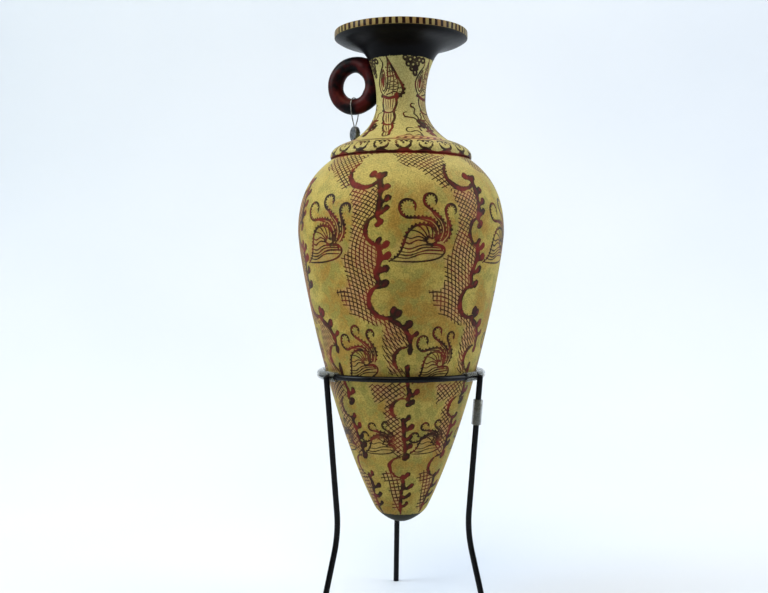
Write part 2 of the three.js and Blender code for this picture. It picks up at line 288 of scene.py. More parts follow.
TOOTHED = (Brush.OUTLINE, Brush.ARM_OUTER, Brush.ARM_MIDDLE)
RIBS = (Brush.RIB_FIRST, Brush.RIB_SECOND, Brush.RIB_THIRD)
UNPAINTED = 60.0
PAINT_REACH = 6.0
NET_REACH = 4.0
FADE = 3.0
LEAST_RADIUS = 5.0
FAR = 1e9
TINY = 1e-6


@dataclass(frozen=True)
class Placement:
    """Where a figure stands on the vessel: its azimuth, its height along the outline, size and turn."""

    azimuth: float
    height: float
    scale: float = 1.0
    turn: float = 0.0
    stretch: float = 1.0
    arm_turn: float = 0.0


@dataclass
class Sheet:
    """The vessel's painted surface laid flat: each vertex has an azimuth and a height along the outline."""

    azimuth: Array
    height: Array
    outline: Outline

    def __post_init__(self) -> None:
        """Makes every brush's blank attributes."""
        count = len(self.azimuth)
        line, lengths = self.outline.surface_line()
        self.line_heights = lengths
        self.line_radii = line[:, 0]
        self.radius = self.radius_at(self.height)
        self.offset = {brush: np.full(count, UNPAINTED) for brush in Brush}
        self.distance = {brush: np.full(count, UNPAINTED) for brush in Brush}
        self.width = {brush: np.zeros(count) for brush in Brush}
        self.run = {brush: np.zeros(count) for brush in TOOTHED}
        self.tooth = {brush: np.zeros(count) for brush in TOOTHED}
        self.mass = np.full(count, UNPAINTED)
        self.net = [np.zeros(count), np.zeros(count), np.full(count, -UNPAINTED)]
        self.red = np.zeros(count)
        self.tint = np.zeros(count)

    def radius_at(self, height: float | Array) -> float | Array:
        """Gives the vessel's radius at a height along the outline."""
        return np.interp(height, self.line_heights, self.line_radii)

    def placed(self, points: Array, spot: Placement) -> Array:
        """Moves a figure's points in millimetres to azimuths and heights on the sheet.

        Args:
            points: The figure's points, +x to the right and +y up, seen from outside.
            spot: Where and how the figure stands.

        Returns:
            Azimuth and height of each point.
        """
        turn = math.radians(spot.turn)
        across = points[:, 0] * spot.scale
        up = points[:, 1] * spot.scale * spot.stretch
        x = across * math.cos(turn) - up * math.sin(turn)
        y = across * math.sin(turn) + up * math.cos(turn)
        height = spot.height + y
        return np.column_stack([spot.azimuth + np.degrees(x / self.radius_at(height)), height])

    def near(self, line: Array, reach: float) -> tuple[Array, Array, Array]:
        """Finds the vertices near a line, and both in millimetres around the line's middle.

        Args:
            line: Azimuth and height of the line's points.
            reach: How far from the line the vertices may be.

        Returns:
            The vertices' numbers, their flat places, and the line's flat points.
        """
        middle = 0.5 * (line[:, 0].min() + line[:, 0].max())
        turn = (self.azimuth - middle + 180) % 360 - 180
        radius = np.maximum(self.radius, LEAST_RADIUS)
        spread = 0.5 * (line[:, 0].max() - line[:, 0].min()) + np.degrees(reach / radius)
        found = np.nonzero((np.abs(turn) < spread) & (self.height > line[:, 1].min() - reach)
                           & (self.height < line[:, 1].max() + reach))[0]
        flat = np.column_stack([np.radians(turn[found]) * radius[found], self.height[found]])
        line_radius = self.radius_at(line[:, 1])
        flat_line = np.column_stack([np.radians(line[:, 0] - middle) * line_radius, line[:, 1]])
        return found, flat, flat_line

    @staticmethod
    def measure(flat: Array, line: Array) -> tuple[Array, Array, Array]:
        """Measures points against a line.

        Args:
            flat: The points.
            line: The line's points.

        Returns:
            Each point's distance, signed offset to the left of the line, and length along the line.
        """
        best = np.full(len(flat), FAR)
        offset = np.full(len(flat), FAR)
        along = np.zeros(len(flat))
        walked = 0.0
        for start, end in zip(line, line[1:]):
            step = end - start
            length = float(np.hypot(*step))
            if length < TINY:
                continue
            unit = step / length
            away = flat - start
            forward = away @ unit
            side = away[:, 1] * unit[0] - away[:, 0] * unit[1]
            held = np.clip(forward, 0, length)
            distance = np.hypot(forward - held, side)
            closer = distance < best
            best[closer] = distance[closer]
            sign = np.where(side >= 0, 1.0, -1.0)
            beyond = np.abs(forward - held) > 1e-9
            inner = beyond & ((walked > 0) | (forward > 0)) & ((end is not line[-1]) | (forward < 0))
            offset[closer] = np.where(inner, sign * distance, side)[closer]
            along[closer] = (walked + held)[closer]
            walked += length
        return best, offset, along

    @staticmethod
    def length(line: Array) -> float:
        """Gives a line's length, which is never quite zero."""
        return max(float(np.linalg.norm(np.diff(line, axis=0), axis=1).sum()), TINY)

    def stroke(self, brush: Brush, line: Array, width: float, taper: Pair = (0.6, 0.6),
               teeth: float = 0.0, red: float = 0.0) -> None:
        """Paints a fine line.

        Args:
            brush: The set of lines that it belongs to.
            line: Azimuth and height of its points.
            width: Half its thickness in millimetres.
            taper: Share of the width that is left at its start and end.
            teeth: Side and size of the beads along it, negative for the right side, none at 0.
            red: How red its paint is.
        """
        found, flat, flat_line = self.near(line, PAINT_REACH)
        distance, offset, along = self.measure(flat, flat_line)
        share = along / self.length(flat_line)
        thick = width * np.interp(share, [0, 0.25, 0.75, 1], [taper[0], 1, 1, taper[1]])
        closer = distance - thick < self.distance[brush][found] - self.width[brush][found]
        found, distance, offset = found[closer], distance[closer], offset[closer]
        self.distance[brush][found] = distance
        self.offset[brush][found] = offset
        self.width[brush][found] = thick[closer]
        if brush in self.run:
            self.run[brush][found] = along[closer]
            self.tooth[brush][found] = teeth
        if red:
            self.redden(found, distance, red)

    def redden(self, found: Array, distance: Array, red: float) -> None:
        """Makes the paint near a stroke redder."""
        fade = np.clip(1 - distance / FADE, 0, 1) * red
        self.red[found] = np.maximum(self.red[found], fade)

    def solid(self, line: Array, widths: Sequence[float], red: float = 0.0) -> None:
        """Paints a broad stroke.

        Args:
            line: Azimuth and height of its points.
            widths: Half thicknesses, spread evenly along it.
            red: How red its paint is.
        """
        found, flat, flat_line = self.near(line, PAINT_REACH + max(widths))
        distance, _, along = self.measure(flat, flat_line)
        share = along / self.length(flat_line)
        thick = np.interp(share, np.linspace(0, 1, len(widths)), widths)
        self.mass[found] = np.minimum(self.mass[found], distance - thick)
        if red:
            self.redden(found, np.maximum(distance - thick, 0), red)

    def shade(self, line: Array, width: float, amount: float) -> None:
        """Tints the ground along a line, up to a distance from it."""
        found, flat, flat_line = self.near(line, width + 1)
        distance, _, _ = self.measure(flat, flat_line)
        wash = amount * np.clip((width - distance) / (0.35 * width) + 0.5, 0, 1)
        self.tint[found] = np.maximum(self.tint[found], wash)

    def lay_net(self, corners: Array, across: Callable, along: Callable, tint: float = 1.0) -> None:
        """Fills an area with a net of crossing lines.

        Args:
            corners: Azimuth and height of the area's corners, in order round it.
            across: Gives the first family's line number at a flat place.
            along: Gives the second family's line number at a flat place.
            tint: How strongly the ground in it is tinted.
        """
        closed = np.vstack([corners, corners[:1]])
        found, flat, edge = self.near(closed, NET_REACH)
        distance, _, _ = self.measure(flat, edge)
        inside = np.zeros(len(flat), bool)
        for (x0, y0), (x1, y1) in zip(edge, edge[1:]):
            crosses = (flat[:, 1] > min(y0, y1)) & (flat[:, 1] <= max(y0, y1)) & (y0 != y1)
            at = x0 + (flat[:, 1] - y0) / (y1 - y0 if y1 != y0 else 1) * (x1 - x0)
            inside ^= crosses & (flat[:, 0] < at)
        signed = np.where(inside, distance, -distance)
        better = signed > self.net[2][found]
        found, flat, signed = found[better], flat[better], signed[better]
        self.net[0][found] = across(flat[:, 0], flat[:, 1])
        self.net[1][found] = along(flat[:, 0], flat[:, 1])
        self.net[2][found] = signed
        wash = tint * np.clip(signed / FADE + 0.2, 0, 1)
        self.tint[found] = np.maximum(self.tint[found], wash)


@dataclass
class Figure:
    """Draws one figure in its own millimetres, +x to the right and +y up, seen from outside."""

    sheet: Sheet
    spot: Placement

    def place(self, points: Points) -> Array:
        """Moves points to the sheet. A plain list of points is smoothed first."""
        line = points if isinstance(points, Array) else smooth_line(points)
        return self.sheet.placed(line, self.spot)

    def line(self, brush: Brush, points: Points, width: float, taper: Pair = (0.6, 0.6), teeth: float = 0.0,
             red: float = 0.0) -> None:
        """Paints a fine line, with the values that Sheet.stroke takes."""
        self.sheet.stroke(brush, self.place(points), width, taper, teeth, red)

    def blob(self, points: Points, widths: Sequence[float], red: float = 0.0) -> None:
        """Paints a broad stroke, with the values that Sheet.solid takes."""
        self.sheet.solid(self.place(points), widths, red)

    def tint(self, points: Points, width: float, amount: float) -> None:
        """Tints the ground along a line."""
        self.sheet.shade(self.place(points), width, amount)


@dataclass(frozen=True)
class Arm:
    """One arm of an argonaut: the points of its stem, and the shrinking arc of its curl."""

    brush: Brush
    stem: Line
    centre: Pair
    radii: Pair
    start: float
    sweep: float
    steps: int = 4
    curl_steps: int = 11

    def line(self) -> tuple[Array, int]:
        """Gives the arm's line and the number of its samples that belong to the stem."""
        curl = arc_line(self.centre, self.radii, self.start, self.sweep, self.curl_steps)
        return smooth_line([*self.stem, *curl], self.steps), self.steps * (len(self.stem) - 1)


@dataclass(frozen=True)
class Argonaut:
    """A paper nautilus: a ribbed shell with a spiral, and three toothed arms that end in curls.

    Each rib starts at a sample of the back and has its end's place. The first ribs are wavy.
    """

    line_width: float = 0.66
    back_bold: float = 1.3
    rib_width: float = 0.50
    arm_width: float = 0.95
    tooth: float = 0.95
    back: Line = (
        (-25, -13.2), (-19.8, -9.3), (-17, -2.5), (-14.6, 4.6), (-10, 8.8), (-3.7, 9.9), (1.6, 7.9),
        (4.4, 3.4), (4.4, -0.8), (1.6, -2.7), (-1.7, -2), (-2.5, 0.4), (-0.8, 2), (1, 1))
    keel: Line = (
        (-25, -13.2), (-17.5, -13.9), (-6.5, -13.9), (3, -12.4), (8.8, -9.6), (10.2, -6.2), (8.2, -3.6),
        (4, -2.9))
    lip: Line = ((4.6, -3.6), (7.8, -4.4), (8.2, -7))
    lip_widths: Numbers = (0.5, 1.2, 0.5)
    lip_red: float = 0.9
    hollow: Line = ((-15, -8), (-6, -4), (4, -6))
    hollow_width: float = 8.5
    ribs: tuple[tuple[int, float, float], ...] = (
        (4, 8, -9), (6, 8.8, -6.6), (8, 6.4, -5), (10, 4.2, -3.7), (13, -2.2, -1.2), (16, -2.7, 0.6),
        (20, -2.4, 1.4), (25, -1.8, 2.1), (29, -0.6, 2.4), (33, 1.4, 2.2), (37, 3, 0.8))
    wavy_ribs: int = 6
    rib_wave: float = 1.1
    rib_bend: float = 1.0
    small: float = 0.66
    arm_root: Pair = (5.5, -1.0)
    stem_gap: float = 1.9
    stem_gap_end: float = 0.3
    arms: tuple[Arm, ...] = (
        Arm(Brush.ARM_OUTER, ((5.5, 0.2), (6.4, 4.9), (4.7, 9.6), (0.9, 13), (-4.8, 14.1), (-10.6, 14.1)),
            (-13.7, 21), (7, 4.1), 266, -284),
        Arm(Brush.ARM_MIDDLE, ((7.4, -0.2), (9.8, 5), (9.2, 10.1), (7.2, 13.5), (3.6, 17), (-0.6, 20.4)),
            (1, 25.8), (5.1, 3.6), 215, -244),
        Arm(Brush.ARM_OUTER, ((10.1, -0.9), (13.2, 3.4), (13.6, 9.1), (11.4, 14.4)),
            (15, 19.4), (4.6, 3), 186, -212),
    )

    def paint(self, sheet: Sheet, spot: Placement) -> None:
        """Paints the figure on the sheet, with every second rib left out where it is small."""
        figure = Figure(sheet, spot)
        back = smooth_line(self.back)
        scale = min(1.0, spot.scale + 0.1)
        size = self.line_width * scale
        figure.line(Brush.OUTLINE, back, size * self.back_bold, teeth=self.tooth * scale, red=0.3)
        figure.line(Brush.ARM_MIDDLE, self.keel, size, (0.6, 1.5))
        figure.blob(self.lip, [width * scale for width in self.lip_widths], self.lip_red)
        figure.tint(self.hollow, self.hollow_width * scale, 0.35)
        for i in range(0, len(self.ribs), 1 if spot.scale > self.small else 2):
            index, *end = self.ribs[i]
            start = back[index]
            reach = np.array(end) - start
            across = np.array([-reach[1], reach[0]]) / np.hypot(*reach)
            wave, bend = (self.rib_wave, 0.0) if i < self.wavy_ribs else (0.0, self.rib_bend)
            rib = [start, start + 0.25 * reach + across * (bend - wave),
                   start + 0.6 * reach + across * (bend + wave), end]
            figure.line(RIBS[i % len(RIBS)], rib, self.rib_width * scale, (0.8, 0.9), red=0.3)
        self.paint_arms(figure, scale)

    def paint_arms(self, figure: Figure, scale: float) -> None:
        """Paints the three arms, each with a toothed line that ends in a curl and a plain line beside it.

        Args:
            figure: The figure that they belong to.
            scale: Scale of the line widths.
        """
        turn = math.radians(figure.spot.arm_turn)
        rotation = np.array([[math.cos(turn), math.sin(turn)], [-math.sin(turn), math.cos(turn)]])
        root = np.array(self.arm_root)
        for arm, brush in zip(self.arms, RIBS):
            straight, stem = arm.line()
            line = (straight - root) @ rotation + root
            figure.line(arm.brush, line, self.arm_width * scale, (0.5, 0.7), -self.tooth * scale, 0.35)
            inner = line[: stem + 1]
            along = np.gradient(inner, axis=0)
            along /= np.linalg.norm(along, axis=1)[:, None]
            gap = np.interp(np.arange(stem + 1), [0, 0.7 * stem, stem],
                            [self.stem_gap, self.stem_gap, self.stem_gap_end])
            beside = inner + gap[:, None] * np.column_stack([-along[:, 1], along[:, 0]])
            figure.line(brush, beside, self.line_width * scale * 0.8, (1, 0.6), red=0.5)
            figure.tint((beside + inner) / 2, 1.4 * scale, 0.7)


@dataclass(frozen=True)
class Bay:
    """A round bay in the coral border: a crescent stroke, open to the right."""

    azimuth: float
    height: float
    radius: float
    start: float
    sweep: float
    widths: Numbers


@dataclass(frozen=True)
class CoralBorder:
    """The border of coral, bays and net that runs down the vessel between two argonauts.

    Trunks and nets are given by azimuths and heights. A knob has its own azimuth and height, its size,
    and the azimuth of the trunk that it grows from.
    """

    bays: tuple[Bay, ...] = (
        Bay(-20.6, 235.4, 11.0, 128, 205, (0.5, 1.1, 2.0, 2.3, 1.5, 1.1)),
        Bay(-11.0, 196.0, 9.4, 98, 175, (0.8, 1.3, 1.6, 1.4, 0.8)),
        Bay(-9.0, 150.6, 11.0, 112, 170, (0.9, 1.7, 2.1, 2.0, 1.1)),
        Bay(4.4, 111.6, 8.8, 95, 185, (0.8, 1.7, 1.9, 1.0, 0.8)),
        Bay(1.4, 77.4, 7.4, 55, 225, (0.7, 0.9, 2.0, 1.2, 0.8)),
        Bay(0.2, 34.8, 7.8, 60, 230, (0.8, 1.0, 2.3, 1.2, 0.9)),
    )
    trunks: tuple[Line, ...] = (
        ((-12.4, 234), (-11.4, 226), (-11.2, 217), (-11.6, 209), (-12.6, 205.4), (-10.9, 201.8)),
        ((-12.2, 187), (-11.2, 181), (-12, 175), (-13.6, 169), (-12.6, 163), (-13.6, 161.2)),
        ((-6.4, 139.4), (-1, 135.2), (3.4, 130.4), (5.8, 124), (5.4, 120.6)),
        ((4.6, 102.6), (5, 94), (6.8, 88), (4.6, 84)),
        ((1.4, 69.8), (2.8, 64), (2.8, 56), (4.6, 49), (3.4, 43.6)),
        ((2.6, 27.4), (3, 21), (0, 14), (-1, 6), (-1, -2)),
    )
    knobs: tuple[Numbers, ...] = (
        (-16.2, 234.2, 2.4, -12), (-9.4, 234, 1.9, -12), (-7.4, 224.6, 2.2, -11.2),
        (-7, 216.8, 2.1, -11.2), (-7.8, 210, 2.1, -11.6), (-10.4, 201.6, 1.9, -12.2),
        (-11.4, 190.2, 1.9, -11.8), (-7.8, 187.2, 2.1, -12), (-7.2, 180.2, 2.6, -11.4),
        (-8.2, 171.8, 2.3, -12.6), (-8.8, 162.2, 2.5, -13.2), (-4.4, 144.6, 2.4, -4.8),
        (-1.6, 142.6, 2.5, -3.8), (4.8, 135.6, 2.7, 2), (9.6, 129, 1.9, 4.6), (6, 118.4, 1.9, 5.8),
        (4.4, 106.6, 1.7, 4.5), (12, 89.4, 2, 6), (9, 82.4, 1.9, 5.6), (6.2, 71.4, 1.8, 2),
        (9.4, 65, 2, 2.8), (9, 57.6, 1.6, 3), (9.2, 51, 2, 4.2), (6.6, 43.4, 1.8, 3.8),
        (8.6, 29.4, 1.7, 2.6), (15.2, 20.6, 1.7, 3), (13, 13.4, 1.5, 0), (10.4, 6.2, 1.3, -1),
    )
    main_net: Line = (
        (-29.4, 224), (-27, 214), (-25.8, 206), (-26.4, 197), (-29, 185), (-34, 178.4),
        (-31.2, 168.8), (-33, 160), (-40.4, 157.4), (-37, 150), (-31, 141.4), (-23, 137.4),
        (-11, 133.8), (-11.6, 122), (-11, 112), (-8, 101.6), (5, 100.6), (2, 104),
        (-3.2, 108), (-4.6, 114), (-0.6, 120), (5.4, 122), (4.8, 130), (-1.6, 136.2),
        (-8, 140.4), (-15.6, 144), (-18, 151), (-16.4, 158), (-13, 164), (-11.8, 176),
        (-11.8, 187), (-17, 188), (-19.4, 196), (-16.6, 203), (-12.6, 206), (-11, 226),
        (-17.6, 223.6), (-23, 223.6))
    low_net: Line = (
        (-27, 95.6), (-21, 80.6), (-13.6, 83), (-14.6, 74), (-13, 65), (-12, 56),
        (-10, 48), (-3, 42), (2.6, 44), (2.8, 64), (-0.8, 70.2), (-5.6, 75.6), (-5, 83),
        (3, 86), (4.6, 95.6))
    foot_net: Line = (
        (-25, 30), (-27, 26.4), (-18, 19.6), (-16, 10), (-17, 0), (-2, 0), (1, 14),
        (2, 25), (-6, 28), (-10.6, 34))
    collar_net: Line = (
        (-6, 254.6), (0, 241), (7, 238.6), (15.4, 233), (20, 228), (24, 223.4),
        (28.4, 226), (27.4, 233.6), (29.6, 242.4), (36, 254.6))
    red_knobs: tuple[int, ...] = (0, 7, 8, 20)
    trunk_width: float = 1.75
    trunk_swell: Numbers = (1.0, 1.25, 0.9, 1.2, 0.8)
    stalk_width: float = 1.15
    stalk_sag: float = 1.9
    net_pitch: float = 2.75
    slim_heights: Pair = (30.0, 185.0)
    slim: Pair = (0.64, 1.0)

    def slimness(self, height: float) -> float:
        """Gives the share of its width that a stroke has at a height."""
        return float(np.interp(height, self.slim_heights, self.slim))

    def paint(self, sheet: Sheet, turned: Callable) -> None:
        """Paints the border, whose strokes get thinner towards the tip.

        Args:
            sheet: The sheet to paint on.
            turned: Turns the border's azimuths to its own place round the vessel.
        """
        for bay in self.bays:
            line = arc_line((0, 0), (bay.radius, bay.radius), bay.start, bay.sweep, 24)
            turn = np.degrees(line[:, 0] / sheet.radius_at(bay.height))
            line = np.column_stack([bay.azimuth + turn, bay.height + line[:, 1]])
            sheet.solid(turned(line), [self.slimness(bay.height) * width for width in bay.widths], 0.55)
        for trunk in self.trunks:
            width = self.trunk_width * self.slimness(trunk[0][1])
            sheet.solid(turned(smooth_line(trunk)), [width * swell for swell in self.trunk_swell], 0.45)
        for i, (azimuth, height, size, root) in enumerate(self.knobs):
            red = 0.85 if i in self.red_knobs else 0.35
            ends = [(azimuth - 0.3, height - 0.5), (azimuth + 0.3, height + 0.4)]
            sheet.solid(turned(ends), (size, size), red)
            foot = height - self.stalk_sag
            stalk = smooth_line([(root, foot), (0.5 * (root + azimuth), foot - 0.2), (azimuth, height)])
            sheet.solid(turned(stalk), (self.stalk_width * 1.6, self.stalk_width, 0.8 * size), red)
        self.paint_nets(sheet, turned)

    def paint_nets(self, sheet: Sheet, turned: Callable) -> None:
        """Paints the nets on the border's left and under the collar."""
        pitch = self.net_pitch

        def steep(x: Array, y: Array) -> Array:
            """Numbers the steep lines, which lean in the upper stretch and bow in the lower one."""
            lean = 0.8 * np.logaddexp(0, (y - 196) / 7) * 7
            bow = 0.010 * np.maximum(178 - y, 0) ** 2
            return (x - lean - 0.35 * bow + 1.2 * np.sin(y / 9)) / pitch

        def flat(x: Array, y: Array) -> Array:
            """Numbers the flat lines, which sag towards the left."""
            return (y + 0.10 * x + 0.012 * (x + 20) ** 2 + 1.0 * np.sin(x / 7 + y / 23)) / pitch

        def rising(x: Array, y: Array) -> Array:
            """Numbers the lines that rise to the right."""
            return (y - 0.75 * x + 0.008 * x**2) / (1.2 * pitch)

        def falling(x: Array, y: Array) -> Array:
            """Numbers the lines that fall to the right."""
            return (y + 0.95 * x + 0.004 * x**2) / (1.25 * pitch)

        def upright(x: Array, y: Array) -> Array:
            """Numbers the nearly upright lines of the lowest net."""
            return (x + 0.22 * y + 0.8 * np.sin(y / 6)) / pitch

        def level(x: Array, y: Array) -> Array:
            """Numbers the nearly level lines of the lowest net."""
            return (y - 0.25 * x + 0.6 * np.sin(x / 4)) / pitch

        sheet.lay_net(turned(self.main_net), steep, flat)
        sheet.lay_net(turned(self.low_net), rising, falling)
        sheet.lay_net(turned(self.foot_net), upright, level, 0.8)
        sheet.lay_net(turned(self.collar_net), rising, falling, 0.35)


@dataclass(frozen=True)
class Stroke:
    """One fine stroke of a figure. Its width is a share of the figure's line width."""

    brush: Brush
    points: Line
    bold: float = 1.0
    taper: Pair = (0.6, 0.6)
    teeth: float = 0.0
    red: float = 0.0


@dataclass(frozen=True)
class NeckFigures:
    """The triton shells and seaweed round the neck, and the rings of the collar.

    The whorls of a spire are given by height, half breadth and middle.
    """

    shell_azimuths: Numbers = (-21.0, 69.0, 157.0, 241.0)
    shell_shift: float = -3.6
    figure_height: float = 313.0
    line_width: float = 0.68
    shell: tuple[Stroke, ...] = (
        Stroke(Brush.ARM_OUTER, ((-0.8, 26.5), (1.2, 22), (3.5, 17), (6, 12), (7.9, 8.4)), 1.2,
               (0.6, 1.0), red=0.5),
        Stroke(Brush.ARM_OUTER, ((7.9, 8.4), (9, 4.5), (8.2, 1.8), (5.1, -0.5)), 1.4, (0.9, 1.2), 1, 0.6),
        Stroke(Brush.OUTLINE, ((-6, 25.5), (-4.6, 22.5), (-6.1, 19), (-8.7, 14), (-9.8, 9.5),
                               (-8.4, 4.5), (-5.8, 0.5)), red=0.3),
        Stroke(Brush.ARM_MIDDLE, ((-0.8, 26.5), (-0.9, 22.5), (-1.6, 16.5), (-1.8, 10), (-3.1, 5),
                                  (-5.5, 2.0)), 0.9, red=0.2),
        Stroke(Brush.RIB_THIRD, ((-4.8, 18.5), (-7.5, 13), (-7.6, 7.8), (-5.7, 4.2), (-3.7, 7),
                                 (-3.5, 12.5), (-4.7, 18.5)), 0.7, (1, 1), red=0.3),
    )
    slit: Line = ((-5.3, 15), (-5.8, 11), (-5.7, 7))
    slit_widths: Numbers = (0.8, 1.5, 1.4, 0.8)
    long_ribs: tuple[tuple[Brush, Line], ...] = (
        (Brush.RIB_SECOND, ((0, 22), (0.3, 12), (-1.6, 3))),
        (Brush.RIB_THIRD, ((1.6, 20), (2.7, 10), (1.2, 1))),
        (Brush.RIB_SECOND, ((3.4, 16), (5.6, 8), (4, 0.6))),
    )
    long_rib_width: float = 0.38
    cross_ribs: int = 7
    cross_rib_foot: float = 2.6
    cross_rib_pitch: float = 2.9
    cross_rib_width: float = 0.30
    blush: Line = ((1, -24), (0, 0), (2, 16))
    blush_width: float = 4.6
    whorls: tuple[Numbers, ...] = (
        (0, 4.7, -1), (-10.5, 3.5, -0.8), (-21, 3, 0.9), (-29.5, 1.8, 2.8), (-37.5, 0.5, 3.9))
    whorl_bulge: float = 1.2
    whorl_rib_width: float = 0.34
    fronds: tuple[Line, ...] = (
        ((20.6, -19), (17.5, -16), (12.8, -15.2), (9.7, -14.6), (8.6, -12), (10.2, -11.2)),
        ((21, -18), (19.4, -14.6), (16, -12), (16.4, -8.4), (13.2, -7), (13.4, -4.8), (15.2, -5)),
        ((27, -34), (23.6, -29.6), (20.4, -28.4), (17.6, -30.4), (14.4, -29), (14, -25.6),
         (17.2, -25.4)),
        ((29, -37.5), (24.6, -33.6), (21.4, -35.8), (17.4, -33.4), (13.6, -35.6)),
        ((22, -18), (22.6, -14.2), (21, -11.8), (23.2, -10.6)),
        ((24, -27), (22, -24.4), (20, -24.6)),
    )
    frond_width: float = 0.55
    stem: Line = ((19.6, -18), (23, -20.5), (27.8, -23.6), (32, -27.5), (38.3, -33))
    stem_widths: Numbers = (1.4, 2.1, 1.4, 1.8, 1.4)
    leaves: tuple[Numbers, ...] = (
        (21, -17.4, 1.6), (24.4, -17.6, 1.2), (26.6, -20.6, 1.4), (25, -24.4, -1), (30.4, -22.8, 1),
        (29.6, -28.4, -1), (34, -26.4, 1.2), (34.6, -32.4, -0.8), (22.6, -23.4, -1.4))
    leaf_widths: Numbers = (0.7, 1.4, 0.7)
    rocks: int = 6
    rock_start: float = 15.0
    rock_pitch: float = 5.2
    rock_shape: Line = ((-3, -43.5), (-2.4, -39.4), (0.4, -37.8), (2.6, -39.8), (3, -43.5))
    cells: Line = (
        (11, 25.8), (14.2, 24.6), (17.6, 25.8), (21, 25), (24.4, 24.8), (12.6, 22), (16, 21.6),
        (19.4, 22.4), (14.8, 18.8), (18, 19.2), (17, 16))
    cell_radius: float = 1.6
    cell_line: float = 0.7
    ring_count: int = 20
    ring_start: float = 2.0
    ring_height: float = 261.9
    ring_size: Pair = (5.0, 3.4)
    ring_widths: Numbers = (0.55, 0.85, 1.15, 0.85, 0.55)
    lobes: tuple[tuple[Brush, float], ...] = ((Brush.ARM_OUTER, -3.2), (Brush.OUTLINE, 0.2),
                                              (Brush.ARM_OUTER, 3.4))
    lobe_radius: float = 1.7
    lobe_width: float = 0.74
    upper_line: float = 269.0
    lower_band: float = 255.4

    def triton(self, figure: Figure) -> None:
        """Paints one triton shell, its spire hanging down."""
        for stroke in self.shell:
            figure.line(stroke.brush, stroke.points, self.line_width * stroke.bold, stroke.taper,
                        stroke.teeth, stroke.red)
        figure.blob(self.slit, self.slit_widths, 0.7)
        for brush, rib in self.long_ribs:
            figure.line(brush, rib, self.long_rib_width, (0.8, 0.9), red=0.5)
        for i in range(self.cross_ribs):
            height = self.cross_rib_foot + self.cross_rib_pitch * i
            reach = float(np.interp(height, [0, 5, 16, 24], [6.6, 7.6, 3.0, 0.0]))
            rib = [(-1.8, height), (0.4 * reach, height - 0.9), (reach, height + 0.4)]
            figure.line(Brush.RIB_FIRST, rib, self.cross_rib_width, (0.9, 0.9), red=0.4)
        self.spire(figure)
        figure.tint(self.blush, self.blush_width, 0.35)

    def spire(self, figure: Figure) -> None:
        """Paints the shrinking whorls of a triton's spire, each bulged like a bead."""
        for i, (upper, lower) in enumerate(zip(self.whorls, self.whorls[1:])):
            (top, half, centre), (low, lesser, below) = upper, lower
            seam = [(centre - half - 0.8, top + 0.6), (centre, top - 1), (centre + half + 0.9, top)]
            seam_width = self.line_width * (1.5 if i == 0 else 1.0)
            figure.line(RIBS[2 * (i % 2)], seam, seam_width, (1, 1), red=0.9)
            bulge = 0.5 * (half + lesser) + self.whorl_bulge
            for side, brush, bold, red in ((-1, Brush.OUTLINE, 1.0, 0.2), (1, Brush.ARM_OUTER, 1.4, 0.6)):
                flank = [(centre + side * half, top),
                         (0.5 * (centre + below) + side * bulge, 0.5 * (top + low)),
                         (below + side * lesser, low)]
                figure.line(brush, flank, self.line_width * bold, (1, 1), red=red)
            ribs = 4 - i
            for j in range(ribs):
                share = (j + 0.8) / (ribs + 0.6) * 2 - 1
                rib = np.array([(centre + share * half, top - 1.4), (below + share * lesser, low + 1.2)])
                brush = (Brush.RIB_SECOND, Brush.ARM_MIDDLE)[j % 2]
                figure.line(brush, rib, self.whorl_rib_width, red=0.4)

    def seaweed(self, figure: Figure) -> None:
        """Paints one sprig of seaweed with curly fronds, leaves and rocks under it."""
        for brush, frond in zip(Brush, self.fronds):
            figure.line(brush, frond, self.frond_width, (1.3, 0.8), red=0.5)
        figure.blob(self.stem, self.stem_widths, 0.5)
        for x, y, lift in self.leaves:
            leaf = np.array([(x - 1.5, y - 0.6 * lift), (x + 1.6, y + 0.6 * lift)])
            figure.blob(leaf, self.leaf_widths, 0.45)
        for i in range(self.rocks):
            rock = [(self.rock_start + self.rock_pitch * i + x, y) for x, y in self.rock_shape]
            figure.line(RIBS[i % len(RIBS)], rock, 0.8, red=0.9)
            figure.tint(rock, 3.0, 0.9)

    def egg_cluster(self, figure: Figure) -> None:
        """Paints a hanging cluster of small ringed cells under the dark dish."""
        brushes = list(Brush)
        for i, cell in enumerate(self.cells):
            ring = arc_line(cell, (self.cell_radius, self.cell_radius), 0, 360, 13)
            figure.line(brushes[i % len(brushes)], ring, self.cell_line, (1, 1))

    def collar_rings(self, sheet: Sheet) -> None:
        """Paints the row of ringed bubbles on the collar, and the lines that bound it."""
        for i in range(self.ring_count):
            figure = Figure(sheet, Placement(self.ring_start + i * 360 / self.ring_count, self.ring_height))
            width, height = self.ring_size
            ring = arc_line((0, 0), (1, 1), 146, 248, 20) * (width + 0.3 * math.sin(5.3 * i), height)
            figure.blob(ring, self.ring_widths, 0.2)
            for brush, x in self.lobes:
                lobe = arc_line((x, 2.7), (self.lobe_radius, self.lobe_radius), 20, 140, 8)
                figure.line(brush, lobe, self.lobe_width, (1, 1))
            figure.blob(np.array([(0.1, 0.4), (0.1, 2.0)]), (0.95, 0.5))
        circle = np.linspace(-180, 180, 73)
        upper = np.column_stack([circle, np.full(len(circle), self.upper_line)])
        sheet.stroke(Brush.RIB_FIRST, upper, 0.8, (1, 1), red=0.3)
        wave = self.lower_band + 0.35 * np.sin(np.radians(circle) * 23)
        sheet.solid(np.column_stack([circle, wave]), (0.95, 0.95), 0.9)

